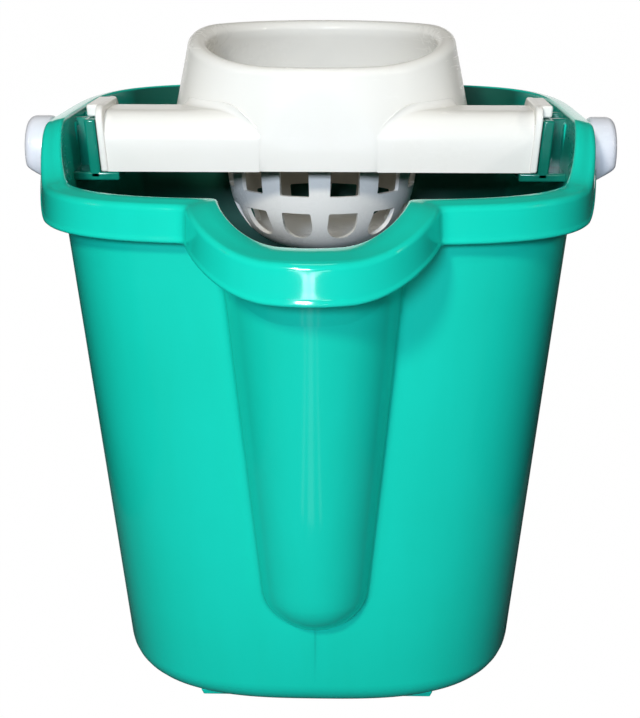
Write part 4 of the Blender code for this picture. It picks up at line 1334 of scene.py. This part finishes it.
def smooth_line(corners, passes=2):
    """A line through a profile with its inner corners cut off in turn, so that it bends softly."""
    for _ in range(passes):
        found = [corners[0]]
        for before, after in zip(corners, corners[1:]):
            for share in (0.25, 0.75):
                found.append((between(before[0], after[0], share), between(before[1], after[1], share)))
        corners = found + [corners[-1]]
    return corners


# Steps of the mesh round the bail's bar and round its hubs
BAR_STEPS = 24
HUB_STEPS = 64

# Hubs: rows of their inner edge and of their dome, edge of the bore, and the tiny radius where rows end
EDGE_ROWS = 5
DOME_ROWS = 8
BORE_EDGE = 0.6 * MM
HUB_POINT = 0.002 * MM


class MOPBUCKET_OT_bail(bpy.types.Operator):
    """Builds the bail with a round hub at each end"""

    bl_idname = "mopbucket.bail"
    bl_label = "Bail"

    def execute(self, context):
        scene = context.scene
        sizes, colours = plain(scene.mop_bail), scene.mop_colours
        tones = colours.bail, colours.bail_deep
        self.white = moulded_plastic("bail_white", *tones, roughness=0.22, glow=0.04)
        self.sizes = sizes
        self.rest = self.rest_angle()
        bow = add_piece("bail_bow", *self.bow(), self.white, sharp_angle=50.0)
        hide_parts("bail")
        self.keep(bow)
        near = scene.mop_fittings.boss_end_x + sizes.hub_gap
        for side, name in SIDES:
            self.keep(add_piece("bail_hub_" + name, *self.hub(side, near), self.white, sharp_angle=50.0))
        return {"FINISHED"}

    def keep(self, piece):
        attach(piece, "handle")

    def rest_angle(self):
        """The angle at which the bow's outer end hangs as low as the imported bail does."""
        sizes, lowest = self.sizes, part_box("bail")[0][2]

        def too_high(angle):
            half_bar = math.hypot(sizes.thick * math.sin(angle), sizes.wide * math.cos(angle))
            return PIVOT.z - (sizes.reach * math.sin(angle) + half_bar) > lowest

        return halved(0.0, math.radians(60.0), 40, too_high)[0]

    def placed(self, x, out, up):
        """A point of the bail's own plane in the frame, at the angle where it hangs."""
        y = PIVOT_FROM_MIDDLE + out * math.cos(self.rest) + up * math.sin(self.rest)
        return x, y, PIVOT.z - out * math.sin(self.rest) + up * math.cos(self.rest)

    def bow(self):
        """The bar of the bail: a rounded flat section carried along the bow."""
        sizes = self.sizes
        line = []
        for i in range(sizes.steps + 1):
            turn = math.pi * i / sizes.steps
            x = math.copysign(abs(math.cos(turn)) ** (2.0 / sizes.squareness), math.cos(turn))
            line.append((sizes.half_x * x, sizes.reach * abs(math.sin(turn)) ** (2.0 / sizes.squareness)))
        sections = []
        for i, (x, out) in enumerate(line):
            before, after = line[max(0, i - 1)], line[min(sizes.steps, i + 1)]
            along = Vector((after[0] - before[0], after[1] - before[1])).normalized()
            section = []
            for step in range(BAR_STEPS):
                turn = 2.0 * math.pi * step / BAR_STEPS
                off, up = sizes.thick * math.cos(turn), sizes.wide * math.sin(turn)
                section.append(self.placed(x + along.y * off, out - along.x * off, up))
            sections.append(section)
        return open_grid(sections)

    def hub(self, side, near):
        """A domed hub with a blind bore for the peg, thinner towards its lower edge."""
        sizes = self.sizes
        far, r, bend = near + sizes.hub_wide, sizes.hub_r, sizes.hub_round
        stations = [(sizes.bore_end_x, HUB_POINT), (sizes.bore_end_x, sizes.bore_r), (near, sizes.bore_r)]
        stations += [(near, sizes.bore_r + BORE_EDGE), (near, r - bend)]
        for i in range(1, EDGE_ROWS + 1):
            turn = 0.5 * math.pi * i / EDGE_ROWS
            stations.append((near + bend * (1.0 - math.cos(turn)), r - bend * (1.0 - math.sin(turn))))
        dome = 2.0 * bend
        for i in range(DOME_ROWS + 1):
            turn = 0.5 * math.pi * i / DOME_ROWS
            stations.append((far - dome * (1.0 - math.sin(turn)), r - dome * (1.0 - math.cos(turn))))
        stations += [(far, 0.5 * (r - dome)), (far, HUB_POINT)]
        points, faces = turned_x(stations, side, (PIVOT_FROM_MIDDLE, PIVOT.z), HUB_STEPS)
        drawn_in = []
        clear_of_bore = 1.1 * sizes.bore_r
        for x, y, z in points:
            below = ease((PIVOT.z - z - clear_of_bore) / (r - clear_of_bore))
            drawn_in.append((x - sizes.hub_taper * below * (x - side * near), y, z))
        return drawn_in, faces


# Paper of the floor and backdrop, and the dim world
WHITE = (1.0, 1.0, 1.0, 1.0)
FLOOR_TONE = (0.05, 0.055, 0.055, 1.0)
PAPER_STRENGTH = 1.05
PAPER_SHARE = 0.95
WORLD_STRENGTH = 0.04

# Dark cards beside the object
CARD_TONE = (0.012, 0.02, 0.018, 1.0)
CARD_X = 0.27
CARD_Y = (-0.22, 0.36)
CARD_TOP_Z = 0.40

# Points that the lamps are aimed at
MIDDLE = Vector((0.0, 0.0, 0.20))
COLLAR = Vector((0.0, 0.0, 0.36))
LIP = Vector((0.0, -0.15, 0.27))
LIP_X = -0.02

# Tints of the lamps, the watts of the left and right fill lamps, and the place and width of each streak
KEY_TINT = (1.06, 1.0, 0.86)
FRONT_TINT = (0.87, 1.0, 1.18)
TOP_TINT = (1.08, 1.0, 0.80)
FILL_TINT = (1.04, 1.0, 0.92)
BACK_TINT = (1.0, 1.0, 1.0)
LIP_TINT = (0.92, 1.0, 1.14)
STREAK_TINT = (0.95, 1.0, 1.1)
FILL_POWERS = (0.022, 0.052)
STREAKS = ((-0.055, 0.012), (-0.015, 0.030), (0.03, 0.010))


class MOPBUCKET_OT_stage(bpy.types.Operator):
    """Sets the pale floor, the studio lamps and the camera"""

    bl_idname = "mopbucket.stage"
    bl_label = "Stage"

    def execute(self, context):
        scene = context.scene
        self.settings = scene.mop_studio
        self.floor()
        self.cards()
        self.world(scene)
        self.lamps()
        self.camera(scene)
        scene.view_settings.view_transform = "Standard"
        return {"FINISHED"}

    def floor(self):
        """A floor with a low wall round it, white to the camera and dark to the lamps."""
        half, rise = self.settings.floor_half, self.settings.backdrop
        plan = [(-half, -half), (half, -half), (half, half), (-half, half)]
        mesh = bpy.data.meshes.new("studio_floor")
        corners = [(x, y, z) for z in (0.0, rise) for x, y in plan]
        walls = [(i, i + 4, (i + 1) % 4 + 4, (i + 1) % 4) for i in range(4)]
        mesh.from_pydata(corners, [], [(0, 1, 2, 3)] + walls)
        floor = bpy.data.objects.new("studio_floor", mesh)
        bpy.context.scene.collection.objects.link(floor)
        look = Look("floor_paper")
        look.principled({"Base Color": FLOOR_TONE, "Roughness": 0.9, "Specular IOR Level": 0.1})
        rays = look.node("ShaderNodeLightPath", {}, {}).outputs
        mirrored = Wire(look, rays["Is Glossy Ray"]) + Wire(look, rays["Is Transmission Ray"])
        behind = look.part(look.place(), "Y") > self.settings.paper_from_y
        seen = Wire(look, rays["Is Camera Ray"]) + mirrored * behind
        glow = look.wire("ShaderNodeEmission", {}, {"Color": WHITE, "Strength": PAPER_STRENGTH})
        lit = Wire(look, look.shader.outputs[0])
        mix = look.wire("ShaderNodeMixShader", {}, {0: PAPER_SHARE * seen, 1: lit, 2: glow})
        look.feed(look.ending.inputs["Surface"], mix)
        mesh.materials.append(look.material)

    def cards(self):
        """Dark cards beside the object, out of the picture, that keep its reflections deep in tone."""
        look = Look("dark_card")
        look.principled({"Base Color": CARD_TONE, "Roughness": 0.8})
        front, back = CARD_Y
        for side, name in SIDES:
            x = side * CARD_X
            mesh = bpy.data.meshes.new("card_" + name)
            corners = [(x, front, 0.0), (x, back, 0.0), (x, back, CARD_TOP_Z), (x, front, CARD_TOP_Z)]
            mesh.from_pydata(corners, [], [(0, 1, 2, 3)])
            mesh.materials.append(look.material)
            card = bpy.data.objects.new("card_" + name, mesh)
            bpy.context.scene.collection.objects.link(card)
            card.visible_camera = card.visible_shadow = False

    def world(self, scene):
        world = bpy.data.worlds.new("studio_world")
        world.use_nodes = True
        scene.world = world
        back = world.node_tree.nodes["Background"]
        back.inputs["Color"].default_value = WHITE
        back.inputs["Strength"].default_value = WORLD_STRENGTH

    def lamps(self):
        """Lamps ahead and above, narrow ones for the wringer, wide ones behind and small ones for gleams."""
        self.lamp("key_lamp", (-0.48, -1.66, 1.24), MIDDLE, (0.20, 0.20), 17.0, KEY_TINT)
        self.lamp("front_lamp", (-0.26, -2.2, 0.92), MIDDLE, (0.50, 0.26), 34.0, FRONT_TINT)
        self.lamp("top_lamp", (0.0, -0.05, 1.7), MIDDLE, (0.5, 0.5), 1.4, TOP_TINT)
        for (side, name), power in zip(SIDES, FILL_POWERS):
            place = (side * 1.3, -0.45, 0.92)
            self.lamp("fill_lamp_" + name, place, COLLAR, (0.10, 0.10), power, FILL_TINT, spread=16.0)
            place = (side * 1.2, 2.3, 0.85)
            self.lamp("back_lamp_" + name, place, MIDDLE, (1.8, 1.3), 19.0, BACK_TINT, glossy=False)
        self.lamp("lip_lamp", (LIP_X, -0.82, 0.13), LIP, (0.14, 0.12), 0.40, LIP_TINT)
        for side, name in SIDES:
            place = (side * 0.13 + LIP_X, -0.82, 0.23)
            self.lamp("lip_lamp_" + name, place, LIP, (0.26, 0.05), 0.30, LIP_TINT, roll=side * 30.0)
        for x, wide in STREAKS:
            above = Vector((x, -0.47, 1.0))
            self.lamp("streak_lamp", (x, -0.48, 0.01), above, (wide, 0.5), 0.8 * wide, STREAK_TINT)

    def lamp(self, name, place, aim, size, power, tint, roll=0.0, glossy=True, spread=180.0):
        """An area lamp of a width and a height, aimed at a point. Angles are in degrees."""
        light = bpy.data.lights.new(name, "AREA")
        light.shape = "RECTANGLE"
        light.size, light.size_y = size
        light.energy = power
        light.spread = math.radians(spread)
        light.color = tint
        lamp = bpy.data.objects.new(name, light)
        lamp.location = place
        lamp.visible_camera, lamp.visible_glossy = False, glossy
        turned = (aim - Vector(place)).to_track_quat("-Z", "Y").to_matrix()
        lamp.rotation_euler = (turned @ Matrix.Rotation(math.radians(roll), 3, "Z")).to_euler()
        bpy.context.scene.collection.objects.link(lamp)

    def camera(self, scene):
        settings = self.settings
        data = bpy.data.cameras.new("photo_camera")
        data.sensor_width = SENSOR_MM
        data.lens = settings.lens
        data.shift_x = settings.shift_x
        data.clip_start, data.clip_end = 0.01, 100.0
        camera = bpy.data.objects.new("photo_camera", data)
        across = settings.distance * math.sin(settings.yaw)
        ahead = settings.distance * math.cos(settings.yaw)
        camera.location = (across, SHIFT.y - ahead, settings.height)
        camera.rotation_euler = (0.5 * math.pi - settings.pitch, 0.0, settings.yaw)
        scene.collection.objects.link(camera)
        scene.camera = camera


class MOPBUCKET_PT_panel(bpy.types.Panel):
    """Lists the steps that dress the bucket"""

    bl_idname = "MOPBUCKET_PT_panel"
    bl_label = "Mop Bucket"
    bl_space_type = "VIEW_3D"
    bl_region_type = "UI"
    bl_category = "Mop Bucket"

    def draw(self, context):
        for step in STEPS:
            self.layout.operator(step.bl_idname)


STEPS = (
    MOPBUCKET_OT_stage,
    MOPBUCKET_OT_tub,
    MOPBUCKET_OT_tub_fittings,
    MOPBUCKET_OT_wringer_head,
    MOPBUCKET_OT_basket,
    MOPBUCKET_OT_bail,
)
SETTINGS = {
    "mop_tub": TubSizes,
    "mop_wringer": WringerSizes,
    "mop_basket": BasketSizes,
    "mop_fittings": FittingSizes,
    "mop_bail": BailSizes,
    "mop_colours": FinishColours,
    "mop_studio": StudioSettings,
}


def register():
    for name, group in SETTINGS.items():
        bpy.utils.register_class(group)
        setattr(bpy.types.Scene, name, bpy.props.PointerProperty(type=group))
    for step in STEPS:
        bpy.utils.register_class(step)
    bpy.utils.register_class(MOPBUCKET_PT_panel)


def unregister():
    bpy.utils.unregister_class(MOPBUCKET_PT_panel)
    for step in reversed(STEPS):
        bpy.utils.unregister_class(step)
    for name, group in reversed(SETTINGS.items()):
        delattr(bpy.types.Scene, name)
        bpy.utils.unregister_class(group)


def main():
    register()
    bpy.ops.mopbucket.stage()
    bpy.ops.mopbucket.tub()
    bpy.ops.mopbucket.tub_fittings()
    bpy.ops.mopbucket.wringer_head()
    bpy.ops.mopbucket.basket()
    bpy.ops.mopbucket.bail()
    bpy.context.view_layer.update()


if __name__ == "__main__":
    main()
